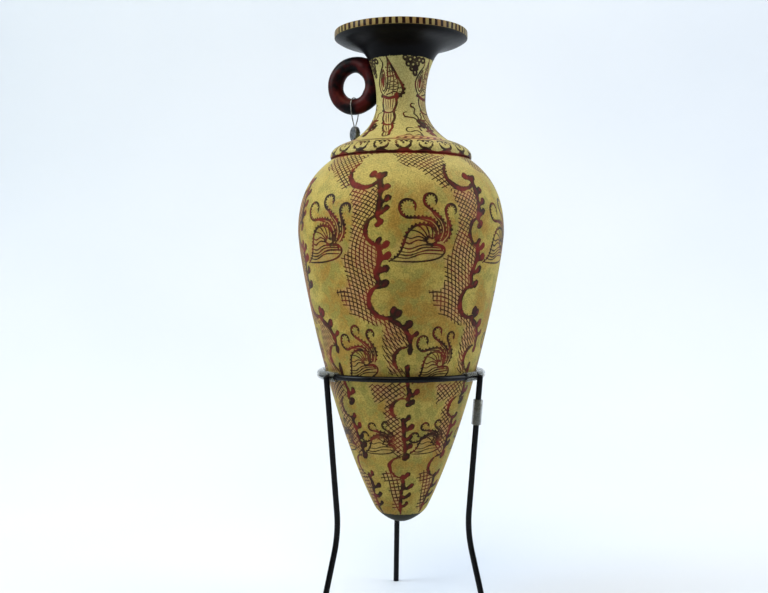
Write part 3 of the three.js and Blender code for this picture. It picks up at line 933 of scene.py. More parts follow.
    def paint(self, sheet: Sheet) -> None:
        """Paints the neck and the collar."""
        for azimuth in self.shell_azimuths:
            self.triton(Figure(sheet, Placement(azimuth + self.shell_shift, self.figure_height)))
            beside = Figure(sheet, Placement(azimuth, self.figure_height))
            self.seaweed(beside)
            self.egg_cluster(beside)
        self.collar_rings(sheet)


@dataclass(frozen=True)
class MarinePainting:
    """The whole painted decoration: six borders, the argonauts in the fields between, and the neck."""

    repeats: int = 6
    squeeze_heights: Numbers = (45.0, 110.0, 180.0)
    squeezes: Numbers = (13.0, 7.4, 3.2)
    rows: tuple[Placement, ...] = (
        Placement(15.2, 190.0, 1.0),
        Placement(-25.0, 110.0, 0.70, 9.0, 1.22, 7.0),
        Placement(-15.6, 53.0, 0.64, 0.0, 0.95, 33.0),
    )
    shift: float = 0.6
    tilt: float = 1.6
    argonaut: Argonaut = field(default_factory=Argonaut)
    border: CoralBorder = field(default_factory=CoralBorder)
    neck: NeckFigures = field(default_factory=NeckFigures)

    def turned(self, points: Points, index: int) -> Array:
        """Turns azimuths to one repeat, which stands nearer the front the lower it is.

        Args:
            points: Azimuth and height of the points.
            index: Number of the repeat.

        Returns:
            The points, turned about the vessel's axis.
        """
        line = np.asarray(points, float)
        turn = 360 * index / self.repeats
        squeeze = np.interp(line[:, 1], self.squeeze_heights, self.squeezes)
        return np.column_stack([line[:, 0] + turn - squeeze * math.sin(math.radians(turn)), line[:, 1]])

    def paint(self, sheet: Sheet) -> None:
        """Paints everything on the sheet. Each argonaut sways a little from its row's place."""
        for i in range(self.repeats):
            self.border.paint(sheet, partial(self.turned, index=i))
            for j, row in enumerate(self.rows):
                sway = math.sin(2.7 * i + 1.9 * j) - math.sin(1.9 * j)
                middle = self.turned([(row.azimuth, row.height)], i)[0]
                shift = self.shift * sway
                spot = replace(row, azimuth=middle[0] + shift, height=row.height + shift,
                               turn=row.turn + self.tilt * sway)
                self.argonaut.paint(sheet, spot)
        self.neck.paint(sheet)


# Materials


class Nodes:
    """Adds and links shader nodes in one material or node group."""

    def __init__(self, tree: bpy.types.NodeTree) -> None:
        """Starts with a tree."""
        self.tree = tree

    def add(self, kind: str, **settings: object) -> bpy.types.Node:
        """Adds a node and sets its properties."""
        node = self.tree.nodes.new(kind)
        for name, value in settings.items():
            setattr(node, name, value)
        return node

    def feed(self, socket: Socket, value: object) -> None:
        """Links an output to a socket, or sets the socket's own value."""
        if isinstance(value, Socket):
            self.tree.links.new(value, socket)
        elif isinstance(value, tuple) and socket.type == "RGBA":
            socket.default_value = (*value, 1.0)
        else:
            socket.default_value = value

    def feed_all(self, node: bpy.types.Node, values: dict[str, object]) -> bpy.types.Node:
        """Feeds several inputs of a node by name, and gives the node back."""
        for name, value in values.items():
            self.feed(node.inputs[name], value)
        return node

    def math(self, operation: str, *values: object, clamp: bool = False) -> Socket:
        """Adds a Math node on up to three values."""
        node = self.add("ShaderNodeMath", operation=operation, use_clamp=clamp)
        for socket, value in zip(node.inputs, values):
            self.feed(socket, value)
        return node.outputs[0]

    def plus(self, first: object, second: object) -> Socket:
        """Adds two values."""
        return self.math("ADD", first, second)

    def minus(self, first: object, second: object) -> Socket:
        """Takes the second value from the first."""
        return self.math("SUBTRACT", first, second)

    def times(self, first: object, second: object) -> Socket:
        """Multiplies two values."""
        return self.math("MULTIPLY", first, second)

    def between(self, value: object, low: float, high: float, start: float = 0.0,
                end: object = 1.0) -> Socket:
        """Maps a value smoothly from one range to another, held at both ends."""
        node = self.add("ShaderNodeMapRange", interpolation_type="SMOOTHSTEP")
        for socket, number in zip(node.inputs, (value, low, high, start, end)):
            self.feed(socket, number)
        return node.outputs[0]

    def blend(self, amount: object, first: object, second: object, mode: str = "MIX") -> Socket:
        """Mixes two colours."""
        node = self.add("ShaderNodeMix", data_type="RGBA", blend_type=mode)
        for name, value in (("Factor_Float", amount), ("A_Color", first), ("B_Color", second)):
            self.feed(next(s for s in node.inputs if s.identifier == name), value)
        return next(s for s in node.outputs if s.identifier == "Result_Color")

    def object_place(self) -> Socket:
        """Gives the Object coordinates, in metres."""
        return self.add("ShaderNodeTexCoord").outputs["Object"]

    def noise(self, place: object, scale: object, detail: float = 2.0,
              rough: float = 0.5) -> Socket:
        """Gives a noise value."""
        node = self.add("ShaderNodeTexNoise", noise_dimensions="3D")
        values = {"Vector": place, "Scale": scale, "Detail": detail, "Roughness": rough}
        return self.feed_all(node, values).outputs[0]

    def split(self, vector: object) -> list[Socket]:
        """Splits a vector into its three numbers."""
        node = self.add("ShaderNodeSeparateXYZ")
        self.feed(node.inputs[0], vector)
        return list(node.outputs)

    def attribute(self, name: str) -> list[Socket]:
        """Gives the three numbers of a mesh attribute."""
        return self.split(self.add("ShaderNodeAttribute", attribute_name=name).outputs["Vector"])

    def bump(self, height: object, strength: object, distance: float) -> Socket:
        """Gives a normal that follows a height."""
        values = {"Strength": strength, "Distance": distance, "Height": height}
        return self.feed_all(self.add("ShaderNodeBump"), values).outputs[0]


def new_material(name: str) -> tuple[Material, Nodes, bpy.types.Node]:
    """Makes a node material.

    Args:
        name: The material's name.

    Returns:
        The material, its node helper and its shader.
    """
    material = bpy.data.materials.new(name)
    material.use_nodes = True
    shader = material.node_tree.nodes["Principled BSDF"]
    return material, Nodes(material.node_tree), shader


@dataclass(frozen=True)
class SurfaceGrain:
    """The patches and fine grain that every finish shares, built once as a node group."""

    name: str = "patches_and_grain"
    patch_noise: Numbers = (4.0, 0.6)
    grain_noise: Numbers = (3.0, 0.7)
    grain_share: float = 0.35
    depth: float = 0.00035

    def build(self) -> bpy.types.NodeTree:
        """Gives the node group, which is built on the first call.

        Returns:
            The group, whose outputs are a patch value, a grain value and a normal.
        """
        if self.name in bpy.data.node_groups:
            return bpy.data.node_groups[self.name]
        tree = bpy.data.node_groups.new(self.name, "ShaderNodeTree")
        sides = {
            "INPUT": {"Place": "Vector", "Patch Scale": "Float", "Grain Scale": "Float", "Relief": "Float"},
            "OUTPUT": {"Patch": "Float", "Grain": "Float", "Normal": "Vector"},
        }
        for side, sockets in sides.items():
            for socket, kind in sockets.items():
                tree.interface.new_socket(name=socket, in_out=side, socket_type=f"NodeSocket{kind}")
        nodes = Nodes(tree)
        given = nodes.add("NodeGroupInput").outputs
        patch = nodes.noise(given["Place"], given["Patch Scale"], *self.patch_noise)
        grain = nodes.noise(given["Place"], given["Grain Scale"], *self.grain_noise)
        height = nodes.plus(nodes.times(grain, self.grain_share), patch)
        normal = nodes.bump(height, given["Relief"], self.depth)
        nodes.feed_all(nodes.add("NodeGroupOutput"), {"Patch": patch, "Grain": grain, "Normal": normal})
        return tree

    def lay(self, nodes: Nodes, patch_scale: float, grain_scale: float, relief: float) -> Callable:
        """Places the group in a material.

        Args:
            nodes: The material's nodes.
            patch_scale: Scale of the patches.
            grain_scale: Scale of the grain.
            relief: Strength of the normal.

        Returns:
            A function that gives one of the group's outputs by name.
        """
        node = nodes.add("ShaderNodeGroup", node_tree=self.build())
        nodes.feed_all(node, {"Place": nodes.object_place(), "Patch Scale": patch_scale,
                              "Grain Scale": grain_scale, "Relief": relief})
        return lambda name: node.outputs[name]


GRAIN = SurfaceGrain()


@dataclass(frozen=True)
class PaintedClay:
    """Satin clay with painted figures in dark and red-brown slip.

    A noise is given by its scale, detail and roughness. A step is given by the two values that it runs
    between and by what it gives there, where that isn't 0 and 1.
    """

    pale: Colour = (0.345, 0.268, 0.064)
    olive: Colour = (0.225, 0.196, 0.047)
    warm: Colour = (0.262, 0.160, 0.032)
    # Painted light: paler ground for the shoulder and neck, standing in for the stronger light from above.
    high: Colour = (0.405, 0.355, 0.138)
    wash: Colour = (0.430, 0.215, 0.105)
    dark: Colour = (0.014, 0.005, 0.0045)
    red: Colour = (0.122, 0.013, 0.010)
    glaze: Colour = (0.0015, 0.0016, 0.0024)
    ring_red: Colour = (0.066, 0.006, 0.005)
    cap: Colour = (0.016, 0.016, 0.009)
    cream: Colour = (0.22, 0.175, 0.070)
    rim_warm: Colour = (0.20, 0.115, 0.042)
    plain: Colour = (0.24, 0.15, 0.075)
    grain: Numbers = (120.0, 1100.0, 0.35)
    broad_noise: Numbers = (38.0, 3.0, 0.55)
    shake_noise: Numbers = (650.0, 2.0, 0.6)
    lump_noise: Numbers = (330.0, 3.0, 0.6)
    thin_noise: Numbers = (210.0, 3.0, 0.6)
    red_noise: Numbers = (95.0, 3.0, 0.6)
    dash_noise: Numbers = (90.0,)
    ring_noise: Numbers = (110.0, 3.0)
    pale_step: Numbers = (0.42, 0.60)
    olive_step: Numbers = (0.46, 0.60, 0.0, 0.85)
    painted_top_light_step: Numbers = (0.262, 0.330, 0.0, 0.85)
    speck_step: Numbers = (0.32, 0.70, 0.68, 1.22)
    wash_step: Numbers = (0.35, 0.65, 0.25, 0.70)
    thin_step: Numbers = (0.34, 0.60, 0.88, 1.0)
    red_step: Numbers = (0.44, 0.60, -0.35, 0.45)
    core_step: Numbers = (-1.6, -0.3, 0.25, -0.15)
    cream_step: Numbers = (0.4, 0.7)
    dash_step: Numbers = (0.20, 0.28, 1.0, 0.0)
    ring_step: Numbers = (0.36, 0.72)
    ring_gloss_step: Numbers = (0.3, 0.7, 0.6, 1.0)
    rough_step: Numbers = (0.2, 0.8, 0.46, 0.60)
    thick_depth: float = 1.2
    edge: float = 0.16
    slack: float = 1.0
    wobble: float = 0.45
    net_wobble: float = 0.8
    zone_wobble: float = 0.004
    lumps: float = 2.1
    net_pitch: float = 2.9
    net_width: float = 0.45
    net_ends: Pair = (3.2, -1.0)
    second_seed: float = 50.0
    tooth_pitch: float = 2.5
    tooth_lift: float = 0.15
    tooth_size: float = 0.8
    cap_top: float = 66.6
    cap_edge: float = 0.8
    glaze_foot: float = 378.6
    glaze_edge: float = 0.6
    band_edge: Pair = (0.2, 0.7)
    dash_foot: Pair = (0.4, 0.7)
    dash_top: Pair = (4.6, 4.9)
    rim_dashes: int = 64
    dash_waver: float = 0.5
    red_share: float = 0.85
    net_red: float = 0.30
    cover: float = 0.99
    ring_share: float = 0.80
    paint_gloss: float = 0.55
    gloss_share: float = 0.18
    shine: float = 0.06

    def line_edge(self, nodes: Nodes, brush: Brush, wobble: object) -> Socket:
        """Gives the signed distance from one brush's lines, negative inside the paint."""
        offset, distance, width = nodes.attribute(brush.value)
        width = nodes.plus(width, wobble)
        across = nodes.minus(nodes.math("ABSOLUTE", offset), width)
        ends = nodes.minus(nodes.minus(distance, width), self.slack)
        line = nodes.math("MAXIMUM", across, ends)
        if brush not in TOOTHED:
            return line
        run, size, _ = nodes.attribute(f"{brush.value}_beads")
        phase = nodes.math("FRACT", nodes.math("DIVIDE", run, self.tooth_pitch))
        forward = nodes.times(nodes.minus(phase, 0.5), self.tooth_pitch)
        away = nodes.minus(nodes.times(offset, nodes.math("SIGN", size)), nodes.plus(width, self.tooth_lift))
        squares = [nodes.math("POWER", value, 2.0) for value in (forward, away)]
        radius = nodes.times(nodes.math("ABSOLUTE", size), self.tooth_size)
        bead = nodes.minus(nodes.math("SQRT", nodes.plus(*squares)), radius)
        return nodes.math("MINIMUM", line, nodes.math("MAXIMUM", bead, ends))

    def net_edge(self, nodes: Nodes, wobble: object) -> Socket:
        """Gives the signed distance from the net's lines, whose ends are ragged."""
        *families, inside = nodes.attribute("net")
        edges = []
        for family, seed in zip(families, (0.0, self.second_seed)):
            number = nodes.math("ROUND", family)
            away = nodes.times(nodes.math("ABSOLUTE", nodes.minus(family, number)), self.net_pitch)
            random = nodes.add("ShaderNodeTexWhiteNoise", noise_dimensions="1D")
            nodes.feed(random.inputs["W"], nodes.plus(number, seed))
            start = nodes.math("MULTIPLY_ADD", random.outputs[0], *self.net_ends)
            line = nodes.minus(away, nodes.plus(self.net_width, wobble))
            edges.append(nodes.math("MAXIMUM", line, nodes.minus(start, inside)))
        return nodes.math("MINIMUM", *edges)

    def paint_edge(self, nodes: Nodes, place: object, mass: object, wobble: object) -> Socket:
        """Gives the signed distance from all the paint, negative inside it.

        Args:
            nodes: The material's nodes.
            place: The Object coordinates.
            mass: Signed distance from the broad strokes.
            wobble: How far the paint's edge strays.

        Returns:
            The distance in millimetres.
        """
        nearest, *edges = [self.line_edge(nodes, brush, wobble) for brush in Brush]
        lumps = nodes.minus(nodes.noise(place, *self.lump_noise), 0.5)
        edges.append(nodes.plus(mass, nodes.times(lumps, self.lumps)))
        edges.append(self.net_edge(nodes, nodes.times(wobble, self.net_wobble)))
        for edge in edges:
            nearest = nodes.math("MINIMUM", nearest, edge)
        return nearest

    def rim_masks(self, nodes: Nodes, place: object, band_foot: float) -> tuple[object, object]:
        """Gives the mask of the rim's cream band and the mask of its dashes."""
        x, y, z = nodes.split(place)

        def rise(heights: Pair, *ends: float) -> Socket:
            """Gives a step between two heights over the band's foot."""
            return nodes.between(z, *((band_foot + height) * MM for height in heights), *ends)

        turn = nodes.times(nodes.math("ARCTAN2", y, x), self.rim_dashes / FULL_TURN)
        waver = nodes.times(nodes.noise(place, *self.dash_noise), self.dash_waver)
        phase = nodes.math("ABSOLUTE", nodes.minus(nodes.math("FRACT", nodes.plus(turn, waver)), 0.5))
        tall = nodes.times(rise(self.dash_foot), rise(self.dash_top, 1.0, 0.0))
        return rise(self.band_edge), nodes.times(nodes.between(phase, *self.dash_step), tall)

    def bare_clay(self, nodes: Nodes, place: object, middle: object, fine: object) -> Socket:
        """Gives the unpainted clay's colour: broad patches, painted light that makes it paler high up, and
        specks.
        """
        broad = nodes.noise(place, *self.broad_noise)
        height = nodes.split(place)[2]
        ground = nodes.blend(nodes.between(broad, *self.pale_step), self.warm, self.pale)
        ground = nodes.blend(nodes.between(middle, *self.olive_step), ground, self.olive)
        # Painted light: the ground turns paler towards the shoulder and neck, as if lit more strongly from
        # above.
        ground = nodes.blend(nodes.between(height, *self.painted_top_light_step), ground, self.high)
        speck = nodes.between(fine, *self.speck_step)
        shaded = nodes.add("ShaderNodeCombineColor")
        for socket in shaded.inputs:
            nodes.feed(socket, speck)
        return nodes.blend(1.0, ground, shaded.outputs[0], "MULTIPLY")

    def painted(self, nodes: Nodes, place: object, grain: Callable,
                band_foot: float) -> tuple[object, object]:
        """Gives the painted vessel's colour and gloss.

        Args:
            nodes: The material's nodes.
            place: The Object coordinates.
            grain: Gives the shared grain's outputs by name.
            band_foot: Height of the rim band's lower edge.

        Returns:
            The colour and the gloss.
        """
        middle = grain("Patch")
        shake = nodes.noise(place, *self.shake_noise)
        wobble = nodes.times(nodes.minus(shake, 0.5), self.wobble)
        mass, red, tint = nodes.attribute("slip")
        nearest = self.paint_edge(nodes, place, mass, wobble)
        ground = self.bare_clay(nodes, place, middle, grain("Grain"))
        ground = nodes.blend(nodes.times(tint, nodes.between(middle, *self.wash_step)), ground, self.wash)
        paint = nodes.between(nearest, -self.edge, self.edge, 1.0, 0.0)
        thin = nodes.between(nodes.noise(place, *self.thin_noise), *self.thin_step)
        depth = nodes.between(nearest, -self.thick_depth, 0.0, 1.0, thin)
        patches = nodes.between(nodes.noise(place, *self.red_noise), *self.red_step)
        core = nodes.between(nearest, *self.core_step)
        redness = nodes.plus(nodes.times(red, self.red_share), nodes.times(tint, self.net_red))
        redness = nodes.math("ADD", nodes.plus(redness, patches), core, clamp=True)
        slip = nodes.blend(redness, self.dark, self.red)
        colour = nodes.blend(nodes.times(paint, nodes.times(depth, self.cover)), ground, slip)
        height = nodes.plus(nodes.split(place)[2], nodes.times(wobble, self.zone_wobble))
        glaze = nodes.between(height, self.glaze_foot * MM, (self.glaze_foot + self.glaze_edge) * MM)
        colour = nodes.blend(glaze, colour, self.glaze)
        band, dash = self.rim_masks(nodes, place, band_foot)
        cream = nodes.blend(nodes.between(middle, *self.cream_step), self.cream, self.rim_warm)
        colour = nodes.blend(band, colour, nodes.blend(dash, cream, self.dark))
        cap = nodes.between(height, self.cap_top * MM, (self.cap_top + self.cap_edge) * MM, 1.0, 0.0)
        colour = nodes.blend(cap, colour, self.cap)
        inner = nodes.attribute("zone")[0]
        colour = nodes.blend(inner, colour, nodes.blend(middle, self.plain, self.warm))
        return colour, nodes.math("MAXIMUM", glaze, nodes.times(paint, self.paint_gloss))

    def ring(self, nodes: Nodes, place: object, grain: Callable) -> tuple[object, object]:
        """Gives the colour and gloss of the ring handle, black slip that shows red in patches."""
        patches = nodes.between(nodes.noise(place, *self.ring_noise), *self.ring_step)
        colour = nodes.blend(nodes.times(patches, self.ring_share), self.glaze, self.ring_red)
        return colour, nodes.between(grain("Patch"), *self.ring_gloss_step)

    def make(self, name: str, band_foot: float | None = None) -> Material:
        """Builds the material of the painted vessel or of its ring handle.

        Args:
            name: The material's name.
            band_foot: Height of the rim band's lower edge, or None for the ring handle.

        Returns:
            The material.
        """
        material, nodes, shader = new_material(name)
        place = nodes.object_place()
        grain = GRAIN.lay(nodes, *self.grain)
        if band_foot is None:
            colour, gloss = self.ring(nodes, place, grain)
        else:
            colour, gloss = self.painted(nodes, place, grain, band_foot)
        rough = nodes.between(grain("Grain"), *self.rough_step)
        rough = nodes.minus(rough, nodes.times(gloss, self.gloss_share))
        nodes.feed_all(shader, {"Base Color": colour, "Roughness": rough, "Normal": grain("Normal"),
                                "Specular IOR Level": self.shine})
        return material


@dataclass(frozen=True)
class PatchyFinish:
    """A finish whose colour, and other values by their step, change in soft patches.

    A step is given as in PaintedClay. Without a colour step, the patches blend by their own value.
    """

    name: str
    colour: Colour
    patches: Colour
    grain: Numbers
    colour_step: Numbers
    steps: dict[str, Numbers]
    values: dict[str, float]

    def make(self) -> Material:
        """Builds the material."""
        material, nodes, shader = new_material(self.name)
        grain = GRAIN.lay(nodes, *self.grain)
        patch = grain("Patch")
        amount = nodes.between(patch, *self.colour_step) if self.colour_step else patch
        nodes.feed_all(shader, {"Base Color": nodes.blend(amount, self.colour, self.patches),
                                "Normal": grain("Normal"), **self.values})
        nodes.feed_all(shader, {name: nodes.between(patch, *step) for name, step in self.steps.items()})
        return material


ROD_LACQUER = PatchyFinish(
    "black_rod_lacquer", (0.0020, 0.0020, 0.0026), (0.0040, 0.0040, 0.0050), (160, 1800, 0.04),
    (0.5, 0.7), {"Roughness": (0.35, 0.7, 0.14, 0.26)}, {"Specular IOR Level": 0.10})
CLEAR_TUBING = PatchyFinish(
    "clear_tubing", (0.055, 0.056, 0.044), (0.15, 0.155, 0.125), (220, 1500, 0.15), (),
    {"Roughness": (0.3, 0.7, 0.12, 0.30), "Alpha": (0.3, 0.7, 0.36, 0.54)}, {"IOR": 1.49, "Coat Weight": 0.5})
SEAL_LEAD = PatchyFinish(
    "seal_lead_grey", (0.14, 0.15, 0.16), (0.035, 0.038, 0.042), (500, 4200, 0.25), (0.38, 0.64),
    {"Roughness": (0.3, 0.7, 0.45, 0.65)}, {"Metallic": 0.85})
SEAL_STEEL = PatchyFinish(
    "seal_wire_steel", (0.34, 0.34, 0.33), (0.09, 0.085, 0.08), (900, 4200, 0.25), (0.38, 0.64),
    {"Roughness": (0.3, 0.7, 0.32, 0.52)}, {"Metallic": 0.85})


# Meshes


def add_object(name: str, data: bpy.types.ID) -> Piece:
    """Adds an object to the scene."""
    added = bpy.data.objects.new(name, data)
    bpy.context.scene.collection.objects.link(added)
    return added


def add_mesh(name: str, mesh: BMesh) -> Piece:
    """Turns a bmesh, which is freed, into an object of the scene."""
    data = bpy.data.meshes.new(name)
    mesh.to_mesh(data)
    mesh.free()
    return add_object(name, data)


def finish_piece(mesh: BMesh, name: str, node: str, material: Material,
                 smooth_angle: float = 40.0) -> Piece:
    """Turns a bmesh in millimetres into a piece that stands for a node.

    Args:
        mesh: The mesh, which is freed.
        name: The piece's name.
        node: The node that it stands for.
        material: Its finish.
        smooth_angle: Edges sharper than this, in degrees, stay sharp.

    Returns:
        The piece.
    """
    bmesh.ops.remove_doubles(mesh, verts=mesh.verts, dist=MERGE_DISTANCE)
    bmesh.ops.recalc_face_normals(mesh, faces=mesh.faces)
    bmesh.ops.scale(mesh, vec=(MM, MM, MM), verts=mesh.verts)
    limit = math.radians(smooth_angle)
    for face in mesh.faces:
        face.smooth = True
    for edge in mesh.edges:
        edge.smooth = len(edge.link_faces) != 2 or edge.calc_face_angle(0.0) < limit
    piece = add_mesh(name, mesh)
    piece.data.materials.append(material)
    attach(piece, "root")
    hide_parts(node)
    log.info("%s: %d faces, for %s", name, len(piece.data.polygons), node)
    return piece


def around(radius: float, azimuth: float, height: float) -> Vector:
    """Gives the point at a distance from the axis, on an azimuth and at a height."""
    turn = math.radians(azimuth)
    return Vector((radius * math.cos(turn), radius * math.sin(turn), height))


def arc_points(radius: float, turns: Sequence[float]) -> list[Pair]:
    """Gives the points of a circle at some turns."""
    return [(radius * math.cos(turn), radius * math.sin(turn)) for turn in turns]


def round_section(radius: float, sides: int) -> list[Pair]:
    """Gives a whole circle's points."""
    return arc_points(radius, [FULL_TURN * i / sides for i in range(sides)])


def sweep_loop(mesh: BMesh, section: Sequence[Pair], path: Sequence[Vector], up: Vector,
               closed: bool = False, sizes: Sequence[float] | None = None) -> None:
    """Sweeps a closed section along a path.

    Args:
        mesh: The mesh to add to.
        section: The section's points, across and up.
        path: The path's points.
        up: Direction that the section's second number follows at the start.
        closed: Whether the path's end joins its start.
        sizes: Scale of the section at each point of the path.
    """
    count = len(path)
    rings = []
    steady = up.copy()
    for i, point in enumerate(path):
        before = path[i - 1] if closed or i else path[i]
        after = path[(i + 1) % count] if closed or i < count - 1 else path[i]
        along = (after - before).normalized()
        steady = (steady - along * steady.dot(along)).normalized()
        across = along.cross(steady)
        size = sizes[i] if sizes else 1.0
        ring = [mesh.verts.new(point + size * (across * x + steady * y)) for x, y in section]
        rings.append([mesh.edges.new((a, b)) for a, b in zip(ring, ring[1:] + ring[:1])])
    following = rings[1:] + rings[:1] if closed else rings[1:]
    for first, second in zip(rings, following):
        bmesh.ops.bridge_loops(mesh, edges=first + second)
    if not closed:
        for ring in (rings[0], rings[-1]):
            bmesh.ops.contextual_create(mesh, geom=ring)


def spin_profile(profile: Sequence[Sequence[float]], steps: int, closed: bool = True) -> BMesh:
    """Spins a profile once round the axis.

    Args:
        profile: Radius and height of its points.
        steps: Number of steps round the axis.
        closed: Whether the profile's end joins its start.

    Returns:
        The new mesh.
    """
    mesh = bmesh.new()
    verts = [mesh.verts.new((radius, 0, height)) for radius, height in profile]
    following = verts[1:] + verts[:1] if closed else verts[1:]
    edges = [mesh.edges.new(pair) for pair in zip(verts, following)]
    bmesh.ops.spin(mesh, geom=verts + edges, cent=(0, 0, 0), axis=(0, 0, 1), angle=FULL_TURN, steps=steps,
                   use_merge=True)
    return mesh


def nearest_row(places: Array, rows: Array) -> Array:
    """Gives, for each place, the number of the row that is nearest to it."""
    across = places[:, None, 0] - rows[None, :, 0]
    up = places[:, None, 1] - rows[None, :, 1]
    return np.hypot(across, up).argmin(axis=1)


@dataclass
class Vessel:
    """The clay vessel with its ring handle.

    A lump of the handle is given by how many there are round it, its phase and its size.
    """

    outline: Outline = field(default_factory=Outline)
    painting: MarinePainting = field(default_factory=MarinePainting)
    finish: PaintedClay = field(default_factory=PaintedClay)
    columns: int = 320
    body_spacing: float = 1.35
    neck_spacing: float = 1.6
    inside_spacing: float = 14.0
    inside_height: float = -500.0
    ring_radius: float = 14.9
    clay_radius: float = 5.5
    set_in: float = 3.4
    above_waist: float = 13.4
    flare: float = 0.91
    flare_reach: float = 3.2
    handle_steps: int = 72
    handle_sides: int = 28
    handle_swell: float = 1.015
    handle_lumps: tuple[tuple[int, float, float], ...] = ((3, 0.6, 0.015), (7, 0.0, 0.009))

    @property
    def handle_height(self) -> float:
        """Height of the ring handle's centre."""
        return self.outline.waist_height + self.above_waist

    @property
    def handle_distance(self) -> float:
        """Distance of the ring handle's centre from the axis."""
        neck = self.outline.radius_at("upper_neck", self.handle_height)
        return neck - self.set_in + self.clay_radius + self.ring_radius

    def make_body(self) -> Piece:
        """Builds the painted vessel as one spun wall."""
        outer = self.outline.outside(self.body_spacing, self.neck_spacing)
        inner = self.outline.inside(self.inside_spacing)[::-1]
        mesh = spin_profile(np.vstack([outer, inner]), self.columns)
        material = self.finish.make("painted_clay_vessel", self.outline.band_foot)
        piece = finish_piece(mesh, "vessel_body", "rhyton", material)
        self.paint(piece, outer, inner)
        return piece

    def paint(self, piece: Piece, outer: Array, inner: Array) -> None:
        """Stores the painting on the vessel's vertices.

        Args:
            piece: The vessel.
            outer: Radius and height of the outer rows.
            inner: Radius and height of the inner rows.
        """
        data = piece.data
        places = np.empty(len(data.vertices) * 3, np.float32)
        data.vertices.foreach_get("co", places)
        places = places.reshape(-1, 3).astype(float) / MM
        radius = np.hypot(places[:, 0], places[:, 1])
        spots = np.round(np.column_stack([radius, places[:, 2]]), 2)
        spots, which = np.unique(spots, axis=0, return_inverse=True)
        rows = np.vstack([outer, inner])
        row = nearest_row(spots, rows)[which.ravel()]
        line, lengths = self.outline.surface_line()
        height = lengths[nearest_row(rows, line)]
        below = rows[:, 1] < self.outline.tip_top
        height[below] = rows[below, 1] - self.outline.tip_top
        height[len(outer):] = self.inside_height
        azimuth = np.degrees(np.arctan2(places[:, 1], places[:, 0])) - CAMERA_AZIMUTH
        sheet = Sheet(azimuth, height[row], self.outline)
        self.painting.paint(sheet)
        self.store(data, sheet, row < len(outer))

    @staticmethod
    def store(data: bpy.types.Mesh, sheet: Sheet, outside: Array) -> None:
        """Writes the sheet to the mesh's attributes."""

        def write(name: str, *parts: Array) -> None:
            """Writes one vector attribute."""
            attribute = data.attributes.new(name, "FLOAT_VECTOR", "POINT")
            attribute.data.foreach_set("vector", np.column_stack(parts).astype(np.float32).ravel())

        for brush in Brush:
            write(brush.value, sheet.offset[brush], sheet.distance[brush], sheet.width[brush])
        for brush in TOOTHED:
            write(f"{brush.value}_beads", sheet.run[brush], sheet.tooth[brush], sheet.run[brush] * 0)
        write("net", *sheet.net)
        write("slip", sheet.mass, sheet.red, sheet.tint)
        inner = np.where(outside, 0.0, 1.0)
        write("zone", inner, inner, inner)

    def handle_size(self, point: Vector, turn: float) -> float:
        """Gives the handle's thickness at a point as a share: wider at the neck, and a little uneven."""
        zone = "upper_neck" if point.z > self.outline.waist_height else "lower_neck"
        gap = abs(point.x) - self.clay_radius - self.outline.radius_at(zone, point.z)
        flare = self.flare / self.clay_radius * math.exp(-max(gap, 0) / self.flare_reach)
        lumps = sum(size * math.sin(count * turn + phase) for count, phase, size in self.handle_lumps)
        return self.handle_swell + flare + lumps

    def make_handle(self) -> Piece:
        """Builds the ring handle, thicker where it is luted to the neck."""
        turns = [FULL_TURN * i / self.handle_steps for i in range(self.handle_steps)]
        path = [Vector((x - self.handle_distance, 0, self.handle_height + z))
                for x, z in arc_points(self.ring_radius, turns)]
        sizes = [self.handle_size(point, turn) for point, turn in zip(path, turns)]
        mesh = bmesh.new()
        section = round_section(self.clay_radius, self.handle_sides)
        sweep_loop(mesh, section, path, Vector((0, 1, 0)), True, sizes)
        material = self.finish.make("dark_slip_handle")
        return finish_piece(mesh, "ring_handle", "rhyton", material, 80.0)


